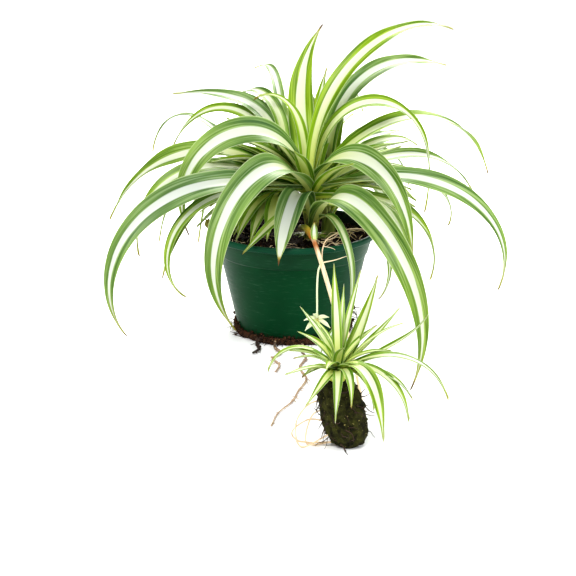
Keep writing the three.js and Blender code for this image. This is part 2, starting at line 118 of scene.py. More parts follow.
def blade_tissue():
    """Living leaf of the striped kind: thin, waxy and a little see-through. It gives the eye a white
    middle that feathers into green margins, fine lines along the leaf, a pale hairline at each edge,
    a yellow-green foot that is partly painted glow of light through the clump, an outer half painted
    brighter as glow, painted shade that browns the foot towards the soil, and a brown tip where it has
    dried."""
    material, node = new_material("living leaf, waxy")
    grain = node("Attribute", attribute_name="grain").outputs["Vector"]
    across, stripe, under = mark(node, "band")
    # The first part of age is the leaf's freshness, with the painted glow of its outer half added to it.
    fresh, heart, dry = mark(node, "age")
    # Veins are about 0.5 mm apart on the plant: drawn at 1 mm, as fine as shows at this size.
    veins = node("VectorMath", [grain, (1.0, 1 / 45, 1)], operation="MULTIPLY")
    lines = node("TexNoise", {"Vector": veins, "Scale": 1.0, "Detail": 2.0})
    broad = node("VectorMath", [grain, (1 / 4, 1 / 60, 1)], operation="MULTIPLY")
    drift = node("TexNoise", {"Vector": broad, "Scale": 1.0, "Detail": 1.0})
    tone = node("MapRange", [node("Mix", [0.45, lines, drift]), 0.33, 0.67])
    # Distance out of the white band, shifted by the veins so that its edge feathers.
    out = node("Math", [across], operation="ABSOLUTE")
    past = node("Math", [out, stripe], operation="SUBTRACT")
    shift = node("MapRange", [lines, 0, 1, -0.1, 0.1])
    feather = node("Math", [past, shift], operation="ADD")
    white = node("MapRange", [feather, 0.03, -0.03], interpolation_type="SMOOTHSTEP")
    # Pale lines in the green, strongest beside the white band.
    near = node("MapRange", [past, 0, 0.5, 0.7, 0.12])
    pale = node("Math", [node("MapRange", [lines, 0.5, 0.6]), near], operation="MULTIPLY")
    edge = node("MapRange", [out, 0.94, 0.98, 0, 0.6])
    # The third pair of greens, and the yellow middle below, are the heart's: partly the foot's own
    # yellow-green, partly painted glow of light coming through the clump.
    old, young, heart_green_and_glow, line, middle = [
        node("Mix", [share, first, second], data_type="RGBA") for share, first, second in (
            (tone, "#3b6134", "#84a071"), (tone, "#386404", "#9bb922"), (tone, "#1c5a00", "#9ccc16"),
            (fresh, "#b6c6aa", "#b9cd58"), (fresh, "#d4d8d6", "#dce1c6"))]
    middle = node("Mix", [heart, middle, "#dbe468"], data_type="RGBA")
    # The underside is duller, away from the heart.
    dull = node("Math", [under, node("MapRange", [heart, 0, 1, 0.2, 0])], operation="MULTIPLY")
    # Half dry is straw, and only the last of it turns brown. A leaf's foot takes these colours towards the
    # soil as painted shade.
    faded = node("MapRange", [dry, 0, 0.5])
    crisp = node("MapRange", [dry, 0.5, 0.9])
    burnt = node("Mix", [lines, "#3a2416", "#8a6238"], data_type="RGBA")
    paint = old
    for share, over in ((fresh, young), (heart, heart_green_and_glow), (pale, line), (white, middle), (edge, "#dfe8b8"),
                        (dull, "#93aa7c"), (faded, "#a89f50"), (crisp, burnt)):
        paint = node("Mix", [share, paint, over], data_type="RGBA")

    rib = node("Bump", {"Strength": 0.5, "Distance": 0.15 * MM, "Height": lines})
    sheen = node("MapRange", [lines, 0, 1, 0.32, 0.48])
    skin = node("BsdfPrincipled", {"Base Color": paint, "Roughness": sheen, "Normal": rib, "IOR": 1.5,
                                   "Specular IOR Level": 0.3})
    # Light that comes through the green is yellower, and through the white middle it stays white.
    yellow = node("MapRange", [fresh, 0, 1, 0.15, 0.5])
    warm = node("Mix", [yellow, paint, "#c4d410"], data_type="RGBA")
    glow = node("Mix", [white, warm, paint], data_type="RGBA")
    through = node("BsdfTranslucent", {"Color": glow, "Normal": rib})
    node("OutputMaterial", {"Surface": node("MixShader", [0.3, skin, through])})
    return material


def spotted(name, dark, light, fleck, grit, roughness, bump, fleck_share=0.62):
    """A rough natural surface in two tones with flecks of a third, all at a grit in millimetres."""
    material, node = new_material(name)
    place = node("TexCoord").outputs["Object"]
    coarse = node("TexNoise", {"Vector": place, "Scale": 1 / (grit * 3 * MM), "Detail": 3.0})
    fine = node("TexNoise", {"Vector": place, "Scale": 1 / (grit * MM), "Detail": 4.0})
    cells = node("TexVoronoi", {"Vector": place, "Scale": 1 / (grit * 1.3 * MM)})
    tone = node("MapRange", [coarse, 0.35, 0.65])
    paint = node("Mix", [tone, dark, light], data_type="RGBA")
    spot = node("MapRange", [fine, fleck_share, fleck_share + 0.06])
    paint = node("Mix", [spot, paint, fleck], data_type="RGBA")
    height = node("Math", [fine, cells.outputs["Distance"]], operation="SUBTRACT")
    rough = node("Bump", {"Strength": 0.9, "Distance": bump * MM, "Height": height})
    skin = node("BsdfPrincipled", {"Base Color": paint, "Roughness": roughness, "Normal": rough,
                                   "Specular IOR Level": 0.15})
    node("OutputMaterial", {"Surface": skin})
    return material


def stringy(name, dark, light, browned, thread, roughness, bump, through=0.0):
    """A stem or root with fibres along it, in two tones, browned in places. thread is in millimetres."""
    material, node = new_material(name)
    grain = node("Attribute", attribute_name="grain").outputs["Vector"]
    fibres = node("VectorMath", [grain, (1 / thread, 1 / (14 * thread), 1)], operation="MULTIPLY")
    lines = node("TexNoise", {"Vector": fibres, "Scale": 1.0, "Detail": 3.0})
    tone = node("MapRange", [lines, 0.35, 0.65])
    paint = node("Mix", [tone, dark, light], data_type="RGBA")
    paint = node("Mix", [mark(node, "age")[2], paint, browned], data_type="RGBA")
    rib = node("Bump", {"Strength": 0.8, "Distance": bump * MM, "Height": lines})
    skin = node("BsdfPrincipled", {"Base Color": paint, "Roughness": roughness, "Normal": rib})
    if through:
        skin = node("MixShader", [through, skin, node("BsdfTranslucent", {"Color": paint})])
    node("OutputMaterial", {"Surface": skin})
    return material


def pot_plastic():
    """Polypropylene, injection moulded in bottle green: smooth and slightly glossy, with a painted teal
    reflection on the lip, a dusty collar, fine handling scuffs, soil stains by the foot and painted
    shade on the inner wall."""
    material, node = new_material("polypropylene, injection moulded")
    place = node("TexCoord").outputs["Object"]
    height = node("SeparateXYZ", [place]).outputs[2]
    broad = node("TexNoise", {"Vector": place, "Scale": 1 / (26 * MM), "Detail": 3.0})
    # Scuffs run round the pot: stretched along it, squeezed in height.
    long = node("VectorMath", [place, (1, 1, 9)], operation="MULTIPLY")
    scuff = node("TexNoise", {"Vector": long, "Scale": 1 / (9 * MM), "Detail": 5.0, "Roughness": 0.65})
    grit = node("TexNoise", {"Vector": place, "Scale": 1 / (1.4 * MM), "Detail": 3.0})
    collar = node("MapRange", [height, 54.2 * MM, 55.4 * MM, 0, 0.22])
    # The lip's teal cast is a painted reflection of the bright room on its glossy roll.
    lip = node("MapRange", [height, 66.6 * MM, 67.4 * MM, 0, 0.28])
    worn = node("MapRange", [scuff, 0.56, 0.72, 0, 0.16])
    low = node("MapRange", [height, 16 * MM, 2 * MM, -0.35, 0.25])
    stain = node("MapRange", [node("Math", [low, grit], operation="ADD"), 0.58, 0.72, 0, 0.85])
    # The inner wall is darkened as painted shade inside the pot, and as soil stain: there the skin faces the
    # pot's axis.
    outward = node("VectorMath", [place, (1, 1, 0)], operation="MULTIPLY")
    outward = node("VectorMath", [outward], operation="NORMALIZE")
    facing = node("NewGeometry").outputs["Normal"]
    facing = node("VectorMath", [outward, facing], operation="DOT_PRODUCT").outputs["Value"]
    inner = node("MapRange", [facing, -0.4, -0.7, 0, 0.8])
    paint = node("Mix", [broad, "#012f18", "#054223"], data_type="RGBA")
    for share, over in ((collar, "#2c4a38"), (lip, "#0d4a3c"), (worn, "#5c7f6a"), (stain, "#2a1c12"),
                        (inner, "#0c120b")):
        paint = node("Mix", [share, paint, over], data_type="RGBA")
    matt = node("MapRange", [scuff, 0.3, 0.7, 0.3, 0.5])
    wave = node("Bump", {"Strength": 0.25, "Distance": 0.2 * MM, "Height": scuff})
    skin = node("BsdfPrincipled", {"Base Color": paint, "Roughness": matt, "Normal": wave,
                                   "Specular IOR Level": 0.07})
    node("OutputMaterial", {"Surface": skin})
    return material


def board():
    """A pale studio board, matt, with a faint tooth."""
    material, node = new_material("pale studio board, matt")
    place = node("TexCoord").outputs["Object"]
    tooth = node("TexNoise", {"Vector": place, "Scale": 1 / (3 * MM), "Detail": 2.0})
    paint = node("Mix", [tooth, "#f6f6f6", "#fafafa"], data_type="RGBA")
    node("OutputMaterial", {"Surface": node("BsdfPrincipled", {"Base Color": paint, "Roughness": 0.9})})
    return material


# ---------------------------------------------------------------- shapes and pieces

class Shape:
    """Points in millimetres, faces, and for each point what the materials read: grain (place across,
    place along, a seed), band (-1 to 1 across, white share, 1 underneath) and age (fresh, heart, dry).
    On leaves, fresh also carries a painted glow on the outer half, and heart is partly painted glow."""

    def __init__(self):
        self.points, self.faces = [], []
        self.marks = {"grain": [], "band": [], "age": []}

    def put(self, point, grain=(0, 0, 0), band=(0, 0, 0), age=(0, 0, 0)):
        self.points.append(Vector(point))
        for name, value in (("grain", grain), ("band", band), ("age", age)):
            self.marks[name].append(value)
        return len(self.points) - 1

    def take(self, other):
        first = len(self.points)
        self.points += other.points
        self.faces += [[i + first for i in face] for face in other.faces]
        for name, values in self.marks.items():
            values += other.marks[name]
        return self

    def skin(self, rings, closed=False):
        """Quads between rings of point numbers, each ring running round the shape."""
        for a, b in zip(rings, rings[1:] + rings[:1] if closed else rings[1:]):
            for k in range(len(a)):
                n = (k + 1) % len(a)
                self.faces.append([a[k], a[n], b[n], b[k]])

    def fan(self, ring, point):
        for k in range(len(ring)):
            self.faces.append([ring[k], ring[(k + 1) % len(ring)], point])


def bare_object(name, shape):
    """A shape's points and faces as an object, in metres and with no finish."""
    mesh = bpy.data.meshes.new(name)
    mesh.from_pydata([p * MM for p in shape.points], [], shape.faces)
    obj = bpy.data.objects.new(name, mesh)
    bpy.context.collection.objects.link(obj)
    return obj


def face_outward(mesh):
    form = bmesh.new()
    form.from_mesh(mesh)
    bmesh.ops.recalc_face_normals(form, faces=form.faces)
    form.to_mesh(mesh)
    form.free()


def smooth(mesh, crease):
    """Smooth skin that stays sharp where it turns by more than crease, in degrees."""
    mesh.shade_smooth()
    mesh.set_sharp_from_angle(angle=radians(crease))


def apply_modifiers(obj):
    made = bpy.data.meshes.new_from_object(obj.evaluated_get(bpy.context.evaluated_depsgraph_get()))
    obj.modifiers.clear()
    obj.data = made


def finished(obj, material, nodes, crease=50):
    """Faces and finish of a piece, which rides on the body and stands for its CAD nodes."""
    face_outward(obj.data)
    smooth(obj.data, crease)
    obj.data.materials.clear()
    obj.data.materials.append(material)
    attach(obj, "root")
    if nodes:
        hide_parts(*nodes)
    return obj


def piece(name, shape, material, slot, *nodes, crease=50):
    """One named piece of the plant, made from a shape."""
    obj = bare_object(name, shape)
    for field, values in shape.marks.items():
        layer = obj.data.attributes.new(field, "FLOAT_VECTOR", "POINT")
        layer.data.foreach_set("vector", [float(x) for value in values for x in value])
    return finished(obj, material, nodes, crease)


def rounded(profile, radius, steps=3):
    """A profile with each inner corner drawn as a small bend."""
    line = [Vector(p) for p in profile]
    out = [line[0]]
    for before, corner, after in zip(line, line[1:], line[2:]):
        back, on = before - corner, after - corner
        cut = min(radius, back.length * 0.45, on.length * 0.45)
        a, c = corner + back.normalized() * cut, corner + on.normalized() * cut
        for i in range(steps + 1):
            t = i / steps
            out.append(a * (1 - t) ** 2 + corner * (2 * t * (1 - t)) + c * t * t)
    out.append(line[-1])
    return out


def turned(profile, sides, shift=None, closed=False):
    """A profile of (radius, height) turned round the Z axis. It starts and ends on the axis, or is
    closed on itself. shift moves each point."""
    shape = Shape()
    rings, poles = [], []
    turns = [2 * pi * k / sides for k in range(sides)]
    for radius, height in profile:
        if radius < 1e-6:
            poles.append(shape.put((0, 0, height)))
        else:
            rings.append([shape.put((radius * cos(turn), radius * sin(turn), height)) for turn in turns])
    shape.skin(rings, closed)
    if poles:
        shape.fan(rings[0], poles[0])
        shape.fan(rings[-1], poles[-1])
    if shift:
        shape.points = [shift(p) for p in shape.points]
    return shape


def smooth_route(route, steps):
    """Points at even spacing on a smooth curve through a route: a centripetal Catmull-Rom spline."""
    knots = [Vector(p) for p in route]
    knots = [2 * knots[0] - knots[1], *knots, 2 * knots[-1] - knots[-2]]
    dense = []
    for i in range(1, len(knots) - 2):
        p = knots[i - 1:i + 3]
        gaps = [max(1e-4, (p[k + 1] - p[k]).length ** 0.5) for k in range(3)]
        start = (p[1] - p[0]) / gaps[0] - (p[2] - p[0]) / (gaps[0] + gaps[1]) + (p[2] - p[1]) / gaps[1]
        stop = (p[2] - p[1]) / gaps[1] - (p[3] - p[1]) / (gaps[1] + gaps[2]) + (p[3] - p[2]) / gaps[2]
        start, stop = start * gaps[1], stop * gaps[1]
        for k in range(16):
            t = k / 16
            dense.append(p[1] * (2 * t ** 3 - 3 * t * t + 1) + p[2] * (3 * t * t - 2 * t ** 3)
                         + start * (t ** 3 - 2 * t * t + t) + stop * (t ** 3 - t * t))
    dense.append(knots[-2])
    run = [0.0]
    for a, b in zip(dense, dense[1:]):
        run.append(run[-1] + (b - a).length)
    out, j = [], 0
    for i in range(steps + 1):
        want = run[-1] * i / steps
        while j < len(run) - 2 and run[j + 1] < want:
            j += 1
        out.append(dense[j].lerp(dense[j + 1], (want - run[j]) / max(1e-9, run[j + 1] - run[j])))
    return out


def tube(line, radius_at, sides=8, seed=0.0, brown_at=None, knobs=0.0):
    """A closed stem or root along a line of points. radius_at and brown_at take the share of the way;
    knobs is how uneven its skin is."""
    shape = Shape()
    line = [Vector(p) for p in line]
    last = len(line) - 1
    forward = [(line[min(last, i + 1)] - line[max(0, i - 1)]).normalized() for i in range(last + 1)]
    normal = forward[0].orthogonal().normalized()
    rings, gone = [], 0.0
    for i, centre in enumerate(line):
        if i:
            gone += (centre - line[i - 1]).length
            normal = (normal - forward[i] * normal.dot(forward[i])).normalized()
        other = forward[i].cross(normal)
        share = i / last
        ring = []
        for k in range(sides):
            turn = 2 * pi * k / sides
            out = normal * cos(turn) + other * sin(turn)
            radius = radius_at(share)
            if knobs:
                radius *= 1 + knobs * noise.noise((centre + out * radius) * 0.9 + Vector((seed, 0, 0)))
            age = (0, 0, brown_at(share) if brown_at else 0)
            ring.append(shape.put(centre + out * radius, (turn * 0.8, gone, seed), (0, 0, 0), age))
        rings.append(ring)
    shape.skin(rings)
    for ring, end, way in ((rings[0], line[0], -forward[0]), (rings[-1], line[-1], forward[-1])):
        share = 0 if ring is rings[0] else 1
        tip = shape.put(end + way * radius_at(share) * 0.6, (0, gone * share, seed), (0, 0, 0),
                        (0, 0, brown_at(share) if brown_at else 0))
        shape.fan(ring, tip)
    return shape


BALL = bmesh.new()
bmesh.ops.create_icosphere(BALL, subdivisions=2, radius=1)
BALL_POINTS = [v.co.copy() for v in BALL.verts]
BALL_FACES = [[v.index for v in f.verts] for f in BALL.faces]
BALL.free()


def lump(place, *marks):
    """A closed lump: place says where each point of a ball of radius 1 goes."""
    shape = Shape()
    for p in BALL_POINTS:
        shape.put(place(p), *marks)
    shape.faces = [list(f) for f in BALL_FACES]
    return shape


def crumb(centre, size, draw):
    """One crumb of soil: a small uneven lump, turned any way."""
    turn = Quaternion(Vector([draw.uniform(-1, 1) for _ in range(3)]).normalized(), draw.uniform(0, pi))
    spread = Vector((1, draw.uniform(0.6, 1), 0.75 * draw.uniform(0.7, 1.1))) * size
    away = Vector([draw.uniform(0, 50) for _ in range(3)])

    def place(p):
        point = p * (1 + 0.5 * noise.noise(p * 1.6 + away)) * spread
        point.rotate(turn)
        return Vector(centre) + point

    return lump(place)


def hair(start, way, length, radius, draw, curl=0.6, fall=0.0, floor=None, steps=9):
    """A thin root that wanders from start, with a pull downwards. It stays over the floor."""
    line, place, way = [], Vector(start), Vector(way).normalized()
    seed = draw.uniform(0, 90)
    for i in range(steps + 1):
        line.append(place.copy())
        bend = noise.noise_vector(Vector((i * 0.55 + seed, seed * 3, 0))) * curl
        way = (way + bend + Vector((0, 0, -fall))).normalized()
        place = place + way * (length / steps)
        if floor is not None:
            place.z = max(floor + radius, place.z)
    return tube(line, lambda s: radius * (1 - 0.6 * s), 5, seed)


# ---------------------------------------------------------------- driving dimensions, as in the solids

POT = {
    "wall": 1.5, "floor": 1.7, "foot": 37, "step": 49.3, "step_height": 54.6, "collar": 53.2,
    "lip": 57, "lip_bottom": 67, "height": 71,
}
DRAIN = {"count": 6, "width": 9, "inner": 30, "height": 4.5}
SOIL = {"top": 64, "edge": 50.6}
CROWNS = {"main": (12, -6), "left": (-6, 8), "right": (24, 10)}
BASE = {"low": 9, "rise": 22, "outer": 9, "inner": 2.5}
# A leaf's clasping foot: its lowest height, its distance from the growing point as a share of the
# root's, and its rings.
FOOT = {"low": 62.5, "gather": 0.7, "rings": 9}
BLADE = {
    "thickness": 0.8, "base_width": 0.55, "widest": 0.35, "fold_tip": 18, "fold_base": 55, "fold_fade": 0.12,
}
# Finer than the solids show, in mm: the rings along a blade, the waves of its edges and the rib under
# its middle; and the angle in degrees that the last of a tip is rolled up by.
RING, RIPPLE, KEEL, TIP_ROLL = 2.6, 0.5, 0.12, 45
# How far up a leaf the yellow-green foot reaches: partly its own colour, partly painted glow of light
# through the clump.
FOOT_YELLOW_AND_GLOW = {"green": 47, "white": 20}  # mm up a leaf; white is for leaves whose white takes over
# How many crumbs and fine roots lie on the soil, round the foot and on the plantlet's plug.
CRUMBS = {"soil": 620, "crust": 330, "plug": 170}
HAIRS = {"soil": 46, "crust": 150, "plug": 60}

# Large leaves: growing point, heading, height on it, length, width, angle they leave at and end at,
# place and sharpness of the bend, sideways sweep and roll. Angles in degrees; 0 heads for +X, 90 +Y.
LEAVES = [
    # standing and arching over the middle and the right
    ("main", 105, 0.5, 160, 19, 75, 30, 0.3, 2, -45, 0),
    ("main", 25, 1, 195, 14, 95, -20, 1.1, 1.5, 25, 30),
    ("right", 45, 1, 200, 13, 95, -15, 0.35, 2.5, 15, 45),
    ("main", 10, 1, 180, 12, 85, -105, 0.55, 2.5, 20, 35),
    ("main", 85, 0.7, 135, 14, 45, 10, 0.15, 2.5, -25, 0),
    ("main", 20, 1.1, 200, 15, 55, -55, 0.8, 1.5, 45, 20),
    ("right", 55, 1, 145, 8, 75, -10, 0.15, 1.5, 25, 25),
    ("right", 25, 1, 100, 8, 75, -30, 1.15, 1, 40, 35),
    ("main", 20, 1.1, 155, 12, 25, -50, 0.9, 2, 35, 30),
    # drooping in front and to the right
    ("main", -40, 1, 140, 18, 85, -85, 1.5, 1, -25, 60),
    ("main", -75, 0.1, 220, 20, 45, -115, 1.4, 1.5, 55, 60),
    ("main", -40, 1.1, 185, 14, 20, -115, 1.5, 2.5, 45, 50),
    ("right", -40, 1.1, 110, 16, 15, -125, 1.35, 4, 40, 0),
    ("main", -35, 0.9, 120, 18, 10, -115, 1.3, 2.5, 40, 0),
    ("main", -50, 0.7, 115, 6, 10, -140, 1.1, 2.5, 0, 35),
    ("right", 35, 0.8, 110, 8, 65, -60, 0.65, 1.5, 35, 35),
    ("main", -70, 0.2, 105, 7, 30, -105, 0.45, 2.5, 30, -5),
    ("main", -115, 0.5, 85, 19, 60, -40, 0.25, 4.5, 20, -10),
    ("main", -115, 1, 195, 21, 40, -130, 0.85, 2, -40, -60),
    # arching to the left
    ("main", 210, 0.8, 165, 20, 85, -115, 1.25, 1.5, -25, -60),
    ("main", 125, 0.7, 95, 8, 85, -45, 1.2, 4, 45, -35),
    ("left", 140, 1, 145, 15, 90, -10, 0.35, 3, -5, -20),
    ("left", 145, 0.8, 140, 9, 95, -70, 1.1, 1.5, 10, -55),
    ("left", 175, 1.1, 160, 21, 55, -60, 1.15, 1, -40, -35),
    ("main", 215, 1.1, 215, 18, 15, -130, 1.4, 2.5, -10, -60),
    ("left", 215, 1.1, 145, 14, 30, -105, 1.4, 2, -45, -30),
    ("main", 215, 1.1, 160, 10, 10, -150, 1.3, 3, 0, -30),
    ("left", 220, 1, 130, 10, 25, -70, 1.2, 1.5, 15, -25),
    ("main", 230, 0.5, 70, 8, 25, -25, 0.2, 2, 5, -20),
    ("left", 90, 1.1, 100, 12, 30, -5, 0.35, 1.5, 45, -15),
    ("left", 150, 1, 45, 11, 90, 10, 1.35, 1, 40, -20),
    ("left", 95, 1, 170, 8, 75, -15, 0.45, 3, 10, -10),
    ("left", 135, 1.1, 135, 10, 95, -30, 0.45, 3.5, -40, -15),
    ("main", 110, 0.7, 105, 13, 45, 25, 0.6, 3.5, -15, 15),
    ("main", 90, 0.5, 110, 13, 60, 25, 0.9, 3, 5, -5),
    ("main", 85, 0.3, 115, 13, 75, 30, 1.05, 1.5, -10, -15),
    # turned away from the front
    ("left", 140, 0.5, 155, 8, 40, -80, 0.9, 4, -5, 0),
    ("left", 120, 0.3, 165, 8, 50, -80, 0.5, 2, 10, -5),
    ("main", 100, 0.3, 135, 10, 35, -75, 0.7, 3, 0, 0),
    ("right", 85, 0.2, 170, 11, 50, -65, 0.3, 3, 10, 5),
    ("right", 60, 0.2, 155, 14, 40, -85, 0.55, 1.5, 0, 0),
    ("right", 40, 0.3, 125, 15, 35, -85, 0.7, 1, 10, 0),
    ("left", 155, 0.2, 120, 7, 30, -85, 0.65, 3, 10, -5),
    ("right", 75, 1, 140, 8, 70, -45, 0.75, 2, 0, -10),
    ("left", 105, 0.4, 130, 8, 65, -30, 0.25, 2, 10, 0),
]
# How fresh each of them looks in the photograph, in the same order: 0 grey-green, 1 yellow-green.
FRESH = (
    0.95, 1, 0.3, 0.9, 0.9, 0.95, 0.4, 0.5, 0.35, 0.3, 0.4, 0.2, 0.5, 0.8, 0.45,
    0.2, 0.3, 0.2, 0.3, 0.3, 0.9, 0.15, 0.7, 0.6, 0.15, 0.5, 0.6, 0.5, 0.6, 0.7,
    0.7, 0.3, 0.5, 0.8, 0.9, 0.9, 0.3, 0.6, 0.8, 0.5, 0.5, 0.5, 0.4, 0.6, 0.5,
)
WHITE_ENDS = {18}  # leaves whose white middle takes over towards the tip
DRY_TIPS = {1: 8, 6: 8, 11: 9, 18: 6, 25: 4, 20: 9, 17: 4, 10: 7, 15: 4, 39: 6, 42: 5}  # mm
# Short young leaves in the heart: growing point, heading, length, width, leaving and end angle.
HEART_LEAVES = [
    ("main", 180, 75, 12, 50, 15),
    ("main", 255, 60, 11, 60, 25),
    ("main", 345, 70, 11, 50, 15),
    ("main", 165, 60, 10, 70, 35),
    ("main", 300, 60, 10, 50, 15),
    ("left", 105, 80, 12, 60, 25),
    ("left", 150, 60, 10, 50, 15),
    ("right", 60, 75, 12, 88, 53),
]
# More of them, finer than the solids show: they fill the clump between the large leaves.
INNER_LEAVES = [
    ("left", 150, 75, 12, 40, -20), ("left", 168, 80, 12, 28, -35), ("left", 188, 75, 12, 22, -30),
    ("left", 204, 70, 11, 38, -25), ("left", 118, 80, 12, 52, 0), ("left", 132, 75, 13, 62, 10),
    ("left", 95, 85, 11, 70, 25), ("main", 140, 85, 13, 66, 20), ("main", 70, 85, 12, 68, 15),
    ("main", 200, 60, 11, 35, -15), ("left", 176, 70, 11, 48, 0), ("left", 215, 60, 10, 25, -30),
    ("left", 195, 85, 14, 50, -30), ("left", 182, 85, 14, 40, -50), ("left", 206, 80, 13, 46, -40),
    ("main", 190, 80, 13, 54, -15), ("main", 172, 80, 13, 62, 0), ("left", 160, 80, 13, 52, -20),
    ("main", 220, 75, 12, 46, -35), ("left", 228, 55, 11, 0, -60), ("left", 205, 60, 11, -5, -50),
    ("right", 12, 65, 12, 34, -25), ("right", -6, 60, 12, 24, -35), ("right", -24, 60, 11, 32, -20),
    ("right", 30, 70, 13, 48, 0), ("right", 52, 75, 12, 62, 10), ("right", 100, 85, 12, 66, 20),
    ("main", 325, 55, 10, 40, 0), ("right", 20, 65, 11, 22, -50), ("right", 5, 70, 13, 46, -30),
    ("right", -14, 65, 12, 38, -45), ("main", 0, 75, 12, 58, 5), ("right", -10, 55, 12, 5, -45),
    ("left", 222, 50, 13, -8, -50), ("right", -8, 60, 13, 15, -35), ("left", 195, 65, 12, 5, -45),
    ("left", 255, 50, 12, 0, -60), ("left", 238, 50, 13, -8, -60), ("left", 176, 60, 13, 8, -40),
]
RUNNER = [
    (5, -9, 71), (5, -20, 76), (8, -37, 79.5), (12.5, -54, 77), (16, -68, 70), (22.5, -86, 52),
    (28, -99, 34), (31, -109, 21), (32.5, -122, 8), (33, -136, 2), (32.5, -150, 1.6), (31, -161, 2),
    (28.5, -172, 9), (26, -181, 24), (25, -187, 36), (24.3, -193, 42), (24, -198.6, 44),
]
BRANCH = [
    (28.6, -98.5, 34.5), (32, -102, 33), (35.5, -109, 22), (38.5, -122, 8), (40, -136, 1.6),
    (40, -152, 1.5), (38, -163, 3), (36, -174, 9), (33, -184, 24), (30, -190, 36), (27, -196, 42),
]
SHEATH = [(6, -28, 78.3), (8, -37, 79.5), (10.5, -46, 79), (12.5, -54, 77)]
# Bracts of the runner, one low at its node and one that stands up by the rim: root, heading, length,
# width, leaving and end angle.
BRACTS = [((28, -99, 34.4), 205, 22, 4.5, -45, -60), ((13.2, -56, 76.4), 110, 13, 5, 75, 105)]
STALK = [(16.7, -71.4, 64.9), (15.6, -70.8, 61), (14.9, -69.4, 50), (15, -68.4, 38), (15, -68, 28)]
# The flower is tipped up to the front by its nod, in degrees from hanging straight down.
FLOWER = {"nod": 72, "petals": 6, "length": 11, "width": 3.4, "stamens": 5}
AERIAL = [
    (50, 8, 66), (43, -6, 71), (34.6, -20, 74), (27.8, -35, 75.5), (20.8, -50, 75), (18.4, -59, 71.5),
    (18, -62.5, 66), (18, -63.5, 60),
]
DRAIN_ROOTS = {
    "drain_root_short": (1.1, [(-23, -34, 3), (-24, -40, 1.8), (-22, -48, 1.6), (-26, -57, 1.6)]),
    "drain_root_wavy": (0.9, [(-12, -39, 2.6), (-12, -46, 1.4), (-8, -56, 1.4), (-13, -67, 1.4),
                              (-9, -79, 1.4), (-11, -92, 1.4)]),
    "drain_root_long": (0.75, [(6, -41, 2.4), (5, -50, 1.3), (8, -66, 1.3), (4, -84, 1.3), (8, -104, 1.3),
                               (3, -124, 1.3), (-1, -142, 1.3), (-9, -160, 1.3), (-13, -180, 1.3)]),
}
DRY_BUD = (-56, -6, 74.3)
PLANTLET = {"place": (23.5, -203), "plug": 12.5, "height": 37, "lean": 6.5, "crown": 42}
# Plantlet leaves: heading, length, width, leaving and end angle, place and sharpness of bend, sweep.
PLANTLET_LEAVES = [
    (95, 65, 5, 85, 35, 0.5, 2, -5), (75, 50, 4, 80, 50, 0.5, 2, 10), (60, 60, 4, 70, 45, 0.7, 2, 10),
    (45, 60, 8, 35, 70, 0.3, 2, -10), (40, 55, 4, 25, 35, 0.5, 2, 0), (20, 50, 3, 45, 0, 1.4, 2, 15),
    (5, 60, 5, 25, 60, 1.2, 4, 0), (-15, 75, 7, 30, -75, 0.9, 2.5, 0), (120, 50, 4, 60, 20, 0.3, 2, 0),
    (160, 35, 3, 85, 15, 1.4, 2, -30), (175, 50, 6, 50, -80, 1.2, 2, 10), (200, 30, 4, 50, -15, 1, 2, -5),
    (235, 45, 6, 30, -5, 0.7, 2, -20), (255, 45, 5, 25, -35, 0.5, 2, -30),
    (-90, 50, 5, 25, -75, 0.9, 2, -10), (-75, 50, 5, 30, -45, 0.8, 2, -20),
    (-60, 75, 8, 40, -65, 0.8, 1.5, -25), (-45, 40, 6, 25, -95, 0.9, 2, -10),
    (-35, 60, 8, 35, -85, 1, 1.5, 20), (-25, 50, 5, 20, -60, 1.2, 2, 0),
]
# Its short inner leaves, finer than the solids show.
PLANTLET_HEART = [
    (-110, 30, 5, 55, -10, 0.6, 2, 10), (-50, 34, 6, 50, -20, 0.6, 2, 0), (0, 34, 5, 50, 0, 0.6, 2, -10),
    (30, 36, 5, 60, 20, 0.6, 2, 10), (85, 36, 6, 75, 40, 0.6, 2, 0), (140, 34, 5, 60, 10, 0.6, 2, 10),
    (190, 32, 5, 55, 0, 0.6, 2, -10), (225, 30, 5, 40, -20, 0.6, 2, 0), (-80, 26, 5, 75, 30, 0.6, 2, 0),
]


def lumps(x, y):
    """Gentle lumps of about 1 mm, the same as in the solids."""
    broad = sin(x / 7 + 1.3) * cos(y / 6)
    fine = sin(x / 3.1 + y / 4.3) + 0.7 * cos(x / 2.3 - y / 2.9)
    return 0.9 * broad + 0.5 * fine


# ---------------------------------------------------------------- leaves

def leaf_frame(leaf, share):
    """Direction, side and upper normal of a leaf at a share of its length."""
    _, heading, _, _, _, leave, end, bend, sharpness, sweep, roll = leaf
    power, half = share ** sharpness, bend ** sharpness
    slope = radians(leave + (end - leave) * power * (1 + half) / (power + half))
    turn = radians(heading + sweep * share ** 1.5)
    along = Vector((cos(slope) * cos(turn), cos(slope) * sin(turn), sin(slope)))
    side = Vector((-sin(turn), cos(turn), 0))
    side.rotate(Quaternion(along, radians(roll * min(1, share / 0.5))))
    return along, side, along.cross(side)


def leaf_path(leaf, root, rings):
    """Share, place, side and upper direction of a leaf at even steps from its root to its tip."""
    place, out = root.copy(), []
    for i in range(rings + 1):
        _, side, up = leaf_frame(leaf, i / rings)
        out.append((i / rings, place.copy(), side, up))
        for k in range(2):
            share = (i + (k + 0.5) / 2) / rings
            if share < 1:
                place += leaf_frame(leaf, share)[0] * (leaf[3] / rings / 2)
    return out


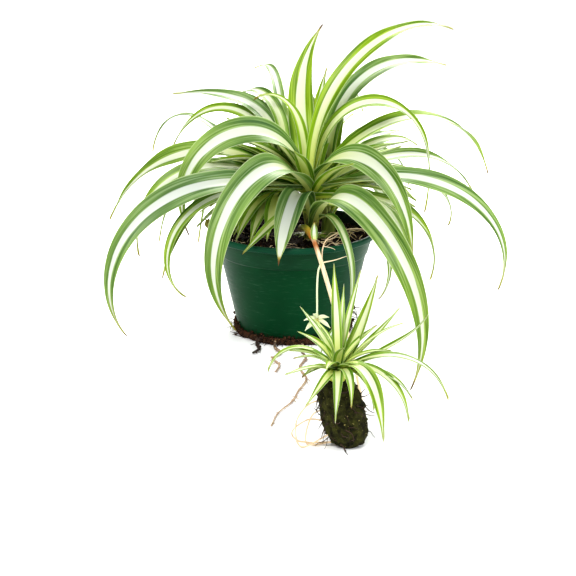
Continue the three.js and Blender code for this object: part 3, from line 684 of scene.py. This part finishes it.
def foot_path(leaf, root):
    """The same for a leaf's clasping foot, from the soil up the growing point and over to its root.
    Its shares are negative."""
    x, y = CROWNS[leaf[0]]
    along, side, _ = leaf_frame(leaf, 0)
    low = Vector((x + (root.x - x) * FOOT["gather"], y + (root.y - y) * FOOT["gather"], FOOT["low"]))
    rise = root.z - low.z
    a, b = low + Vector((0, 0, rise * 0.55)), root - along * min(9, rise * 0.35)
    out = []
    for i in range(FOOT["rings"]):
        t = i / FOOT["rings"]
        place = low * (1 - t) ** 3 + a * (3 * t * (1 - t) ** 2) + b * (3 * t * t * (1 - t)) + root * t ** 3
        way = (a - low) * (1 - t) ** 2 + (b - a) * (2 * t * (1 - t)) + (root - b) * t * t
        out.append((-rise * (1 - t) / leaf[3], place, side, way.normalized().cross(side)))
    return out


def width_at(share):
    """Share of the full width: narrow at the clasping foot, widest by a third, then drawn out to a
    long fine point."""
    base, widest = BLADE["base_width"], BLADE["widest"]
    opening = base + (1 - base) * sin(pi / 2 * min(1, share / widest))
    beyond = max(0, (share - widest) / (1 - widest))
    return opening * max(0, 1 - beyond ** 2.3) ** 1.5


def blade(leaf, root, draw, fresh, stripe, dry, fine=6, thickness=BLADE["thickness"], foot=False,
          white_end=False, yellow=FOOT_YELLOW_AND_GLOW["green"]):
    """One leaf grown from its root: folded along its middle, thick there and thin at its rippled edges.
    With a foot it starts in the soil and clasps the growing point, and that foot is painted browner
    towards the soil as shade. stripe is the white share of its width, dry the length of its brown tip
    and yellow how far its yellow-green foot reaches, a colour that is partly painted glow. Its outer
    half is painted brighter, a glow that stands in for light coming through it. fine is the number of
    quads in each half of its width."""
    length, width = leaf[3], leaf[4]
    rings = max(18, round(length / RING))
    seed = draw.uniform(0, 100)
    waves = [(draw.uniform(0, 2 * pi), draw.uniform(7, 12)) for _ in range(2)]
    shape, rows = Shape(), []
    path = leaf_path(leaf, root, rings)
    for along, place, side, up in (foot_path(leaf, root) if foot else []) + path[:-1]:
        share, gone = max(0, along), along * length
        left = length - gone
        half = max(min(0.85, 0.1 * width), width / 2 * width_at(share))
        # The last of a tip is rolled up, which keeps it in sight from the side.
        fold = radians(BLADE["fold_tip"] + TIP_ROLL * exp(-((left / (0.06 * length)) ** 2))
                       + (BLADE["fold_base"] - BLADE["fold_tip"]) * exp(-share / BLADE["fold_fade"]))
        fleshy = thickness * (1 + 1.2 * exp(-max(0, gone) / 9)) * min(1, 0.5 + left / 14)
        # The heart is the yellow-green foot: partly its own colour, partly painted glow of light through the
        # clump.
        heart = (0.75 + 0.25 * fresh) * exp(-((max(0, gone) / yellow) ** 2))
        dried = 1 / (1 + exp((left - dry) / max(0.6, dry * 0.16))) if dry else 0
        faded = (0.45 if dry else 0.2) * exp(-((left / (0.08 * length)) ** 2))
        # Painted shade: the foot darkens through straw to brown where it goes into the soil, in the colours
        # of a dried sheath.
        dried = max(dried, faded, 0.5 * max(0, -gone / 25) ** 1.5)
        band = stripe + (0.95 - stripe) * share ** 4 if white_end else stripe * (1 - 0.6 * share ** 5)
        band += 0.2 * heart
        # Painted glow: the outer half of a leaf is painted fresher and yellower, standing in for light that
        # comes through it.
        fresh_and_painted_glow = min(1, fresh + 0.7 * max(0, share - 0.4))
        row = []
        for face in (1, -1):
            for k in range(-fine, fine + 1):
                across = face * k / fine
                t = abs(across)
                phase, wave = waves[0 if across > 0 else 1]
                ripple = RIPPLE * t * t * sin(gone / wave + phase) * min(1, share * 4) * min(1, half / 3)
                lift = half * sin(fold) * (1.12 * t ** 1.3 - 0.12 * t ** 5) + ripple
                keel = KEEL * exp(-(t / 0.12) ** 2) if face < 0 else 0
                skin = fleshy / 2 * (1 - 0.6 * t * t) + keel
                point = place + side * (across * half * cos(fold)) + up * (lift + face * skin)
                row.append(shape.put(point, (across * half, gone, seed), (across, band, face < 0),
                                     (fresh_and_painted_glow, heart, dried)))
        rows.append(row)
    shape.skin(rows)
    tip = shape.put(path[-1][1], (0, length, seed), (0, stripe, 0), (fresh, 0, 1 if dry else 0.2))
    shape.fan(rows[-1], tip)
    first, size = rows[0], 2 * fine + 1
    for k in range(size - 1):
        shape.faces.append([first[k], first[k + 1], first[2 * size - 2 - k], first[2 * size - 1 - k]])
    return shape


def root_on(leaf):
    """Where a leaf of the clump leaves its growing point."""
    (x, y), turn, level = CROWNS[leaf[0]], radians(leaf[1]), leaf[2]
    radius = BASE["outer"] + (BASE["inner"] - BASE["outer"]) * level
    height = SOIL["top"] + BASE["low"] + BASE["rise"] * level
    return Vector((x + radius * cos(turn), y + radius * sin(turn), height))


def make_leaves(tissue):
    draw = random.Random(11)
    for number, leaf in enumerate(LEAVES, 1):
        fresh = FRESH[number - 1]
        stripe = 0.29 + 0.08 * fresh + draw.uniform(-0.03, 0.03)
        dry = DRY_TIPS.get(number, draw.choice((1.5, 2, 3)))
        whiter = number in WHITE_ENDS
        shape = blade(leaf, root_on(leaf), draw, fresh, stripe, dry, foot=True, white_end=whiter,
                      yellow=FOOT_YELLOW_AND_GLOW["white" if whiter else "green"])
        piece(f"leaf_{number:02d}_blade", shape, tissue, "leaf", f"leaf_{number:02d}")


def make_crown(tissue, sheath):
    """The shared base and three short stems in one skin, and the short young leaves of the heart."""
    draw = random.Random(12)
    x, y = 10, 3  # middle of the base
    body = lump(lambda p: (x + p.x * 19, y + p.y * 9, SOIL["top"] - 2 + p.z * 4))
    low, top = SOIL["top"] - 4, SOIL["top"] + 18
    for centre in CROWNS.values():
        stem = turned(rounded([(0, low), (5, low), (4.2, top - 8), (2.6, top), (0, top + 2)], 3), 24)
        stem.points = [p + Vector((*centre, 0)) for p in stem.points]
        body.take(stem)
    base = bare_object("crown_base", body)
    knit = base.modifiers.new("knit", "REMESH")
    knit.mode, knit.voxel_size = "VOXEL", 1.3 * MM
    soft = base.modifiers.new("soft", "SMOOTH")
    soft.iterations = 6
    apply_modifiers(base)
    layer = base.data.attributes.new("grain", "FLOAT_VECTOR", "POINT")
    for vertex in base.data.vertices:
        p = vertex.co / MM
        turn = atan2(p.y - y, p.x - x)
        layer.data[vertex.index].vector = (turn * 12, p.z, 3)
        vertex.co += vertex.normal * (0.5 * sin(turn * 14 + p.z * 0.15) * MM)
    finished(base, sheath, ("crown",))
    heart = Shape()
    for crown, heading, length, width, leave, end in HEART_LEAVES + INNER_LEAVES:
        leaf = (crown, heading, 0.95, length, width, leave, end, 0.6, 2, 0, 0)
        fresh, stripe = draw.uniform(0.6, 1), draw.uniform(0.28, 0.4)
        heart.take(blade(leaf, root_on(leaf), draw, fresh, stripe, 0, foot=True))
    piece("heart_leaves", heart, tissue, "leaf")


# ---------------------------------------------------------------- pot, soil and foot

def make_pot(plastic):
    """One thin moulded shell with a rolled lip, a collar, a small step and drain slots at the foot."""
    wall, floor, foot, step, step_height, collar, lip, lip_bottom, height = POT.values()
    outside = [
        (0, 0), (foot - 1.2, 0), (foot, 1.2), (step, step_height), (step + 1, step_height + 0.7),
        (collar, lip_bottom - 0.8), (collar + 0.6, lip_bottom), (lip - 0.8, lip_bottom),
        (lip, lip_bottom + 0.8), (lip, height - 0.8), (lip - 0.8, height),
    ]
    inside = [
        (collar + 1.2, height), (collar + 0.2, height - 0.9), (collar - wall, lip_bottom - 0.8),
        (step + 1 - wall, step_height + 1), (step - wall, step_height), (foot - wall, floor), (0, floor),
    ]
    crease = 35
    form = turned(rounded(outside + inside, 0.8), 160)
    shell = piece("pot_shell", form, plastic, "pot", "pot", crease=crease)
    slots = Shape()
    for i in range(DRAIN["count"]):
        turn = Quaternion((0, 0, 1), (i + 0.5) * 2 * pi / DRAIN["count"])
        ends = []
        for x in (DRAIN["inner"], DRAIN["inner"] + 12):
            ring = []
            for a, z in ((-1, -1), (1, -1), (1, DRAIN["height"]), (-1, DRAIN["height"])):
                corner = Vector((x, a * DRAIN["width"] / 2, z))
                corner.rotate(turn)
                ring.append(slots.put(corner))
            ends.append(ring)
        slots.skin(ends)
        slots.faces += ends
    cutter = bare_object("slots", slots)
    face_outward(cutter.data)
    cut = shell.modifiers.new("cut", "BOOLEAN")
    cut.operation, cut.solver, cut.object = "DIFFERENCE", "EXACT", cutter
    apply_modifiers(shell)
    bpy.data.objects.remove(cutter)
    smooth(shell.data, crease)


def soil_height(x, y):
    """Height of the soil at a place: level at the wall, lumpy further in."""
    edge = min(1, max(0, (SOIL["edge"] - hypot(x, y)) / 6))
    rough = 0.55 * noise.noise(Vector((x, y, 5)) * 0.45) + 0.4 * noise.noise(Vector((x, y, 9)) * 1.1)
    return SOIL["top"] + 0.4 * (1 - edge) + edge * lumps(x, y) + rough


def fine_root(draw):
    """A fine root that wanders over the soil in a low arch, with both ends in it."""
    turn, out = draw.uniform(-pi, 0.35), draw.uniform(26, 46)
    seed, length = draw.uniform(0, 90), draw.uniform(9, 26)
    line, place = [], Vector((out * cos(turn), out * sin(turn), 0))
    way = Vector((draw.uniform(-1, 1), draw.uniform(-1, 1), 0)).normalized()
    arch = draw.uniform(0.3, 3.0)
    furthest = SOIL["edge"] - 1.5
    for i in range(11):
        z = soil_height(place.x, place.y) + 0.35 + arch * sin(pi * i / 10)
        line.append(Vector((place.x, place.y, z if 0 < i < 10 else z - 1.2)))
        way = way + noise.noise_vector(Vector((i * 0.5 + seed, 0, 0))) * 0.7
        way.z = 0
        way.normalize()
        place = place + way * (length / 10)
        if hypot(place.x, place.y) > furthest:
            place = place * (furthest / hypot(place.x, place.y))
    radius = draw.uniform(0.22, 0.5)
    return tube(line, lambda s: radius * (1 - 0.4 * s), 6, seed, knobs=0.3)


def make_soil(peat, pale_root):
    """Loose potting mix with crumbs on top, and fine roots over the front of it."""
    draw = random.Random(13)
    bottom = POT["floor"] + 0.3
    widening = POT["step"] - POT["foot"]
    inner = POT["foot"] - POT["wall"] + widening * (bottom - POT["floor"]) / POT["step_height"]
    profile = [(0, bottom), (inner - 0.35, bottom), (POT["step"] - POT["wall"] - 0.35, POT["step_height"]),
               (SOIL["edge"] - 0.6, SOIL["top"] - 3)]
    profile += [(SOIL["edge"] * (1 - i / 44), SOIL["top"]) for i in range(45)]

    def rough_top(p):
        return Vector((p.x, p.y, soil_height(p.x, p.y))) if p.z > SOIL["top"] - 0.1 else p

    bed = turned(profile, 150, rough_top)
    for _ in range(CRUMBS["soil"]):
        turn, out = draw.uniform(0, 2 * pi), SOIL["edge"] * draw.uniform(0.2, 0.97) ** 0.6
        x, y = out * cos(turn), out * sin(turn)
        size = 0.5 + 1.5 * draw.random() ** 2.5
        bed.take(crumb((x, y, soil_height(x, y) + 0.3 * size), size, draw))
    piece("soil_bed", bed, peat, "soil", "soil", crease=60)
    roots = Shape()
    for _ in range(HAIRS["soil"]):
        roots.take(fine_root(draw))
    piece("soil_fine_roots", roots, pale_root, "dry_root")


def make_crust(peat, dark_root):
    """Soil and matted roots that have come through the drain slots and dried on round the foot."""
    draw = random.Random(14)
    slope = (POT["step"] - POT["foot"]) / POT["step_height"]

    def wall(z):
        return POT["foot"] + slope * max(0, z - 1.2) + 0.35

    profile = [(wall(at) + out, z) for at, out, z in (
        (0.5, 0, 0.5), (0.5, 0.9, 0.3), (1, 1.7, 0.8), (2, 2.0, 1.9), (3, 1.8, 3.0), (4, 1.2, 4.0),
        (4.6, 0.5, 4.7), (4.6, 0, 4.5), (2.5, 0, 2.5))]

    def rough(p):
        radius, turn = hypot(p.x, p.y), atan2(p.y, p.x)
        if radius <= wall(p.z) + 0.2:
            return p
        bulge = (0.9 + 0.5 * sin(9 * turn) + 0.5 * sin(17 * turn + 2) + 0.4 * sin(29 * turn)
                 + 1.3 * noise.noise(p * 0.7) + 0.6 * noise.noise(p * 1.9))
        grown = max(wall(p.z) + 0.25, radius + bulge * 0.8)
        lift = 0.6 * sin(13 * turn) if p.z > 1 else 0
        return Vector((grown * cos(turn), grown * sin(turn), max(0.15, p.z + lift)))

    mat = turned(profile, 320, rough, closed=True)
    for _ in range(CRUMBS["crust"]):
        turn = draw.uniform(0, 2 * pi)
        size = 0.4 + 1.1 * draw.random() ** 2
        climb = 15 * max(0, cos(turn + 0.35)) ** 6 + 3 * max(0, cos(turn - 3.0)) ** 8
        z = 1.5 * size + draw.uniform(0, 4.5 + climb)
        out = wall(z) + size * 0.45 + (draw.uniform(0.5, 2.6) if z < 4.5 else 0)
        mat.take(crumb((out * cos(turn), out * sin(turn), z), size, draw))
    piece("foot_crust", mat, peat, "soil_crust", "soil_crust", crease=60)
    hairs = Shape()
    for _ in range(HAIRS["crust"]):
        turn = draw.uniform(0, 2 * pi)
        climb = 13 * max(0, cos(turn + 0.35)) ** 6
        z = draw.uniform(0.8, 4.5 + climb)
        out = wall(z) + 1.2
        start = (out * cos(turn), out * sin(turn), z)
        aside, along, lift = draw.uniform(-0.9, 0.9), draw.uniform(-0.9, 0.9), draw.uniform(-0.5, 0.4)
        way = (cos(turn) + aside, sin(turn) + along, lift)
        hairs.take(hair(start, way, draw.uniform(3, 9), draw.uniform(0.16, 0.34), draw, 0.9, 0.12, 0.05))
    piece("foot_root_hairs", hairs, dark_root, "dark_root")


# ---------------------------------------------------------------- runner, flower and roots

def share_near(line, place):
    """Share of the way along a line where it passes nearest to a place."""
    return min(range(len(line)), key=lambda i: (line[i] - Vector(place)).length) / (len(line) - 1)


def browned(*places):
    """How brown a stem is at a share of its way: each place is its share, half width and depth."""
    return lambda s: min(1.0, sum(depth * exp(-(((s - c) / w) ** 2)) for c, w, depth in places))


def make_runner(straw, paper, tissue):
    """The runner and its branch, an olive sheath where it leaves the crown, and its two bracts."""
    draw = random.Random(15)
    steps = 150
    line, side = smooth_route(RUNNER, steps), smooth_route(BRANCH, 110)
    scar, node = share_near(line, (14, -60, 74)), share_near(line, BRANCH[0])
    runner = tube(line, lambda s: 1.55 - 0.4 * s + 0.3 * exp(-(((s - node) / 0.012) ** 2)), 14, 1,
                  browned((scar, 0.022, 1), (node, 0.009, 1), (0.93, 0.02, 0.7), (0.5, 0.006, 0.6)), 0.06)
    branch = tube(side, lambda s: 0.95 + 0.35 * exp(-((s / 0.02) ** 2)), 10, 2,
                  browned((0.0, 0.03, 1), (0.5, 0.008, 0.7)), 0.06)
    start = line[round(share_near(line, STALK[0]) * steps)]
    thread = hair(start, (1, -0.2, 0.25), 17, 0.5, draw, 0.12, steps=14)
    piece("stolon_runner", runner.take(branch).take(thread), straw, "stolon", "stolon")
    husk = tube(smooth_route(SHEATH, 30), lambda s: 1.6 + 0.7 * sin(pi * s) ** 0.7, 16, 3,
                lambda s: s ** 2, 0.12)
    piece("stolon_sheath", husk, paper, "stolon")
    bracts = Shape()
    for root, heading, length, width, leave, end in BRACTS:
        leaf = (None, heading, 0, length, width, leave, end, 0.6, 2, 0, 0)
        bracts.take(blade(leaf, Vector(root), draw, 0.5, 0.45, 1.5, 5, 0.5, yellow=3))
    piece("stolon_bracts", bracts, tissue, "stolon")


def make_flower(petal):
    """A hanging stalk that widens at its end, and a star of petals and stamens that faces the front."""
    draw = random.Random(16)
    centre = Vector(STALK[-1])
    form = tube(smooth_route(STALK, 40), lambda s: 0.6 + 0.35 * max(0, s - 0.93) / 0.07, 8, 1)
    form.take(lump(lambda p: centre + p * 1.5, (0, 0, 1), (0, 0, 0), (0, 0, 0.75)))
    star = Shape()
    for i in range(FLOWER["petals"]):
        heading = 20 + 360 * i / FLOWER["petals"] + draw.uniform(-7, 7)
        end = -55 + draw.uniform(-12, 12)
        leaf = (None, heading, 0, FLOWER["length"], FLOWER["width"], -10, end, 0.6, 2, 0, 0)
        star.take(blade(leaf, centre, draw, 0.2, 0.9, 0, 4, 0.5))
    for i in range(FLOWER["stamens"]):
        turn = 2 * pi * i / FLOWER["stamens"] + 0.4
        tip = centre + Vector((cos(turn) * 1.6, sin(turn) * 1.6, -4.2))
        middle = (centre + tip) / 2 + Vector((cos(turn), sin(turn), 0)) * 0.4
        star.take(tube([centre, middle, tip], lambda s: 0.16 + (0.3 if s > 0.9 else 0), 5, 5, lambda s: s))
    nod = Quaternion((1, 0, 0), radians(-FLOWER["nod"]))
    star.points = [centre + nod @ (p - centre) for p in star.points]
    form.take(star)
    piece("flower_star", form, petal, "flower", "flower")


def make_roots(corky, dark_root, pale_root):
    """The dry root over the rim, and the roots that lie in front of the foot with soil on them."""
    draw = random.Random(17)
    line = smooth_route(AERIAL, 80)
    aerial = tube(line, lambda s: 0.66 * (1 - 0.45 * s), 8, 1, lambda s: 0.2, 0.25)
    for at, way, length in ((60, (1, -0.25, 0.35), 11), (66, (0.9, -0.2, -0.2), 8), (30, (0.2, -1, 0.4), 6)):
        aerial.take(hair(line[at], way, length, 0.28, draw, 0.25))
    piece("aerial_root_dry", aerial, pale_root, "dry_root", "aerial_root")
    for name, (radius, route) in DRAIN_ROOTS.items():
        dark = name == "drain_root_short"
        line = smooth_route(route, 24 * (len(route) - 1))
        form = tube(line, lambda s: radius * (1 - 0.45 * s), 9, draw.uniform(0, 50),
                    lambda s: 1.0 if dark else max(0.0, 1 - s * 3.2), 0.45)
        for _ in range(6 + round(len(line) / 12)):
            at = line[draw.randrange(4, len(line) - 2)]
            way = (draw.uniform(-1, 1), draw.uniform(-1, 0.4), draw.uniform(-0.2, 0.3))
            form.take(hair(at, way, draw.uniform(2, 7), 0.24, draw, 0.7, 0.1, 0.05))
        for _ in range(26 if dark else 12):
            at = line[int(draw.random() ** 2 * 0.8 * (len(line) - 1))]
            size = draw.uniform(0.4, 1.1)
            spot = at + Vector((draw.uniform(-1, 1), draw.uniform(-1, 1), draw.uniform(-0.2, 0.6))) * radius
            spot.z = max(size * 1.5, spot.z)
            form.take(crumb(spot, size, draw))
        piece(name + "_fine", form, dark_root if dark else corky, "dark_root" if dark else "dry_root", name)


def make_bud(withered):
    """A shrivelled bud on the rim, with the dry ends of its petals on top."""
    middle = Vector(DRY_BUD)

    def place(p):
        grown = p * (1 + 0.35 * noise.noise(p * 2.3))
        point = Vector((grown.x * 3, grown.y * 2.4, grown.z * 3.5))
        point.rotate(Quaternion((0, 1, 0), radians(-35)))
        return middle + point

    form = lump(place)
    draw = random.Random(18)
    for _ in range(4):
        way = (draw.uniform(-1, 1), draw.uniform(-1, 1), 1)
        form.take(hair(middle + Vector((0, 0, 1)), way, 4.5, 0.5, draw, 0.5))
    piece("withered_bud", form, withered, "dry_bud", "dry_bud")


# ---------------------------------------------------------------- plantlet

def make_rosette(draw, tissue):
    """The plantlet's short stem and all its leaves, grown from one place."""
    (x, y), top, crown = PLANTLET["place"], PLANTLET["height"] + 0.3, PLANTLET["crown"]
    profile = [(0, top), (4.5, top), (4.5, crown), (2, crown + 4), (0, crown + 5)]
    leaves = turned(rounded(profile, 1.5), 20)
    for i, p in enumerate(leaves.points):
        leaves.points[i] = p + Vector((x, y, 0))
        leaves.marks["grain"][i] = (atan2(p.y, p.x) * 4, p.z, 2)
        leaves.marks["band"][i] = (0, 0.6, 0)
        leaves.marks["age"][i] = (1, 1, 0)
    for number, row in enumerate(PLANTLET_LEAVES + PLANTLET_HEART):
        heading, length, width, leave, end, bend, sharpness, sweep = row
        leaf = (None, heading, 0, length, width * 1.2, leave, end, bend, sharpness, sweep, 0)
        dry = (0, 0, 0, 2)[number % 4]
        fresh, stripe = draw.uniform(0.5, 0.9), draw.uniform(0.32, 0.44)
        leaves.take(blade(leaf, Vector((x, y, crown)), draw, fresh, stripe, dry, 5, 0.6, yellow=26))
    piece("plantlet_rosette", leaves, tissue, "leaf", "plantlet_leaves")


def make_plug(draw, moss, pale_root, dark_root):
    """A leaning plug of moss and peat with crumbs and root hairs, and loops of root on its left."""
    (x, y), r, h = PLANTLET["place"], PLANTLET["plug"], PLANTLET["height"]
    profile = [(0, 0), (6, 0), (r - 3, 2.5), (r - 0.8, 8), (r, 18), (r - 0.5, 28), (r - 2.5, h - 2),
               (r - 6, h), (0, h)]
    dense = []
    for (r1, z1), (r2, z2) in zip(profile, profile[1:]):
        steps = max(1, round(hypot(r2 - r1, z2 - z1) / 1.1))
        dense += [(r1 + (r2 - r1) * i / steps, z1 + (z2 - z1) * i / steps) for i in range(steps)]
    dense.append(profile[-1])

    def rough(p):
        radius = max(1e-6, hypot(p.x, p.y))
        bumps = lumps(p.x * 2.1 + p.z, p.y * 2.1 - p.z) * 0.7 if p.z > 1 else 0
        bumps += 1.5 * noise.noise(p * 0.35) + 0.7 * noise.noise(p * 0.9) if p.z > 0.5 else 0
        grown = (radius + bumps * min(1, radius / 6)) / radius
        return Vector((x + p.x * grown + PLANTLET["lean"] * (1 - p.z / h), y + p.y * grown, p.z))

    def on_plug(turn, z, out=0.0):
        radius = r - 1.5 * abs(z / h - 0.5) * 4 + out
        lean = PLANTLET["lean"] * (1 - z / h)
        return Vector((x + radius * cos(turn) + lean, y + radius * sin(turn), z))

    plug = turned(dense, 90, rough)
    for _ in range(CRUMBS["plug"]):
        size = draw.uniform(0.4, 1.2)
        plug.take(crumb(on_plug(draw.uniform(0, 2 * pi), draw.uniform(2, h - 2), -0.2), size, draw))
    piece("plug_moss", plug, moss, "plug", "plantlet_plug", crease=60)
    hairs = Shape()
    for _ in range(HAIRS["plug"]):
        turn, z = draw.uniform(0, 2 * pi), draw.uniform(2, h - 1)
        way = (cos(turn + 1.3) + 0.4 * cos(turn), sin(turn + 1.3) + 0.4 * sin(turn), draw.uniform(-1, 0.6))
        length, radius = draw.uniform(4, 11), draw.uniform(0.2, 0.42)
        hairs.take(hair(on_plug(turn, z, 0.3), way, length, radius, draw, 0.6, 0.05, 0.05))
    piece("plug_root_hairs", hairs, dark_root, "plug")
    loops = Shape()
    for k, reach in enumerate((16, 11, 20)):
        z = 26 - 6 * k
        a, b = on_plug(pi, z, -0.5), on_plug(pi + 0.5, max(3, z - 18), -0.5)
        mid = (a + b) / 2 + Vector((-reach, -3 + 3 * k, -2))
        low = Vector((a.x - reach * 0.7, a.y - 6 + 4 * k, 1))
        line = smooth_route([a, (a + mid) / 2 + Vector((0, 0, 4)), mid, low, b], 50)
        line = [Vector((q.x, q.y, max(0.7, q.z))) for q in line]
        loops.take(tube(line, lambda s: 0.45, 7, k, lambda s: 0.1, 0.3))
    piece("plantlet_root_loops", loops, pale_root, "dry_root")


def make_plantlet(tissue, moss, pale_root, dark_root):
    draw = random.Random(19)
    make_rosette(draw, tissue)
    make_plug(draw, moss, pale_root, dark_root)


# ---------------------------------------------------------------- floor, light and the whole plant

def set_stage():
    """A pale floor under an even pale sky, with a soft key sun, a fill and a back light."""
    half = 8000
    ground = Shape()
    corners = ((-half, -half, 0), (half, -half, 0), (half, half, 0), (-half, half, 0))
    ground.faces = [[ground.put(corner) for corner in corners]]
    floor = bare_object("floor", ground)
    floor.data.materials.append(board())
    world = bpy.data.worlds.new("studio")
    world.use_nodes = True
    world.node_tree.nodes.clear()
    glow = add(world.node_tree, "Background", {"Color": "#ffffff", "Strength": 0.38})
    add(world.node_tree, "OutputWorld", {"Surface": glow})
    bpy.context.scene.world = world
    middle, clump = (0, 0, 0), (0, -20, 90)
    lamp("key", "SUN", (-320, -760, 1000), middle, 3.1, "#ffffff", angle=radians(34))
    lamp("fill", "AREA", (820, -420, 560), clump, 5, "#f4f8ff", shape="DISK", size=800 * MM)
    lamp("back", "AREA", (260, 900, 760), clump, 24, "#fffefa", shape="DISK", size=900 * MM)
    bpy.context.scene.view_settings.view_transform = "Standard"
    bpy.context.scene.view_settings.look = "Medium High Contrast"


set_camera()
set_stage()
leaf_tissue = blade_tissue()
# Fleshy leaf bases: ribbed, dark olive green as painted shade in the middle of the clump, and soft in the
# light.
leaf_sheath_painted_shade = stringy("leaf sheath, fleshy", "#3f5214", "#87953f", "#8a6a3a", 1.2, 0.5, 0.2, 0.1)
# Potting mix: nearly black and crumbly, with tan flecks of bark.
peat = spotted("peat potting mix, loose", "#0c0604", "#2a1a11", "#7d6042", 1.1, 0.95, 0.5, 0.64)
# What dried on round the foot: browner, finer and matted.
mat = spotted("peat and root mat, dried on", "#1a100a", "#4a3020", "#8a6a48", 0.9, 0.95, 0.5)
# Runner: smooth and pale as straw, rust brown at its scars.
straw = stringy("runner stem, dried smooth", "#cbb184", "#efe3c4", "#a4602e", 0.6, 0.42, 0.12, 0.08)
# Sheath: olive and papery, turning rusty at its end.
paper = stringy("stem sheath, papery", "#5f7a14", "#a9ae3e", "#b0601f", 0.6, 0.5, 0.15, 0.15)
# Petals: greenish white, and light comes through them.
petal = stringy("petal, soft and matt", "#dde6b4", "#f6f8e6", "#c9c455", 0.6, 0.5, 0.08, 0.35)
# Dried fine roots: pale tan and dull.
pale_root = stringy("fine root, dried", "#c9aa80", "#ead9bd", "#a07a4c", 0.4, 0.75, 0.15)
# Root bark: grey brown, knobbly and cracked, and dark near the pot.
corky = stringy("root bark, corky", "#7d6148", "#c4ad90", "#33221a", 0.6, 0.85, 0.3)
# Roots with soil on them: almost as dark as the mix.
dark_root = stringy("root bark, soil-stained", "#1d130e", "#4a3222", "#2a1b12", 0.5, 0.9, 0.3)
# The plug: dark moss and peat with dull yellow specks.
moss = spotted("moss plug, peaty", "#1a190c", "#3c3d1a", "#9a8f5a", 1.3, 0.95, 0.6, 0.66)
# The bud: dull olive, shrivelled and matt.
withered = spotted("bud, withered", "#5a5a26", "#8a8442", "#3a3218", 0.9, 0.8, 0.3)

make_pot(pot_plastic())
make_soil(peat, pale_root)
make_crust(mat, dark_root)
make_crown(leaf_tissue, leaf_sheath_painted_shade)
make_leaves(leaf_tissue)
make_runner(straw, paper, leaf_tissue)
make_flower(petal)
make_roots(corky, dark_root, pale_root)
make_bud(withered)
make_plantlet(leaf_tissue, moss, pale_root, dark_root)
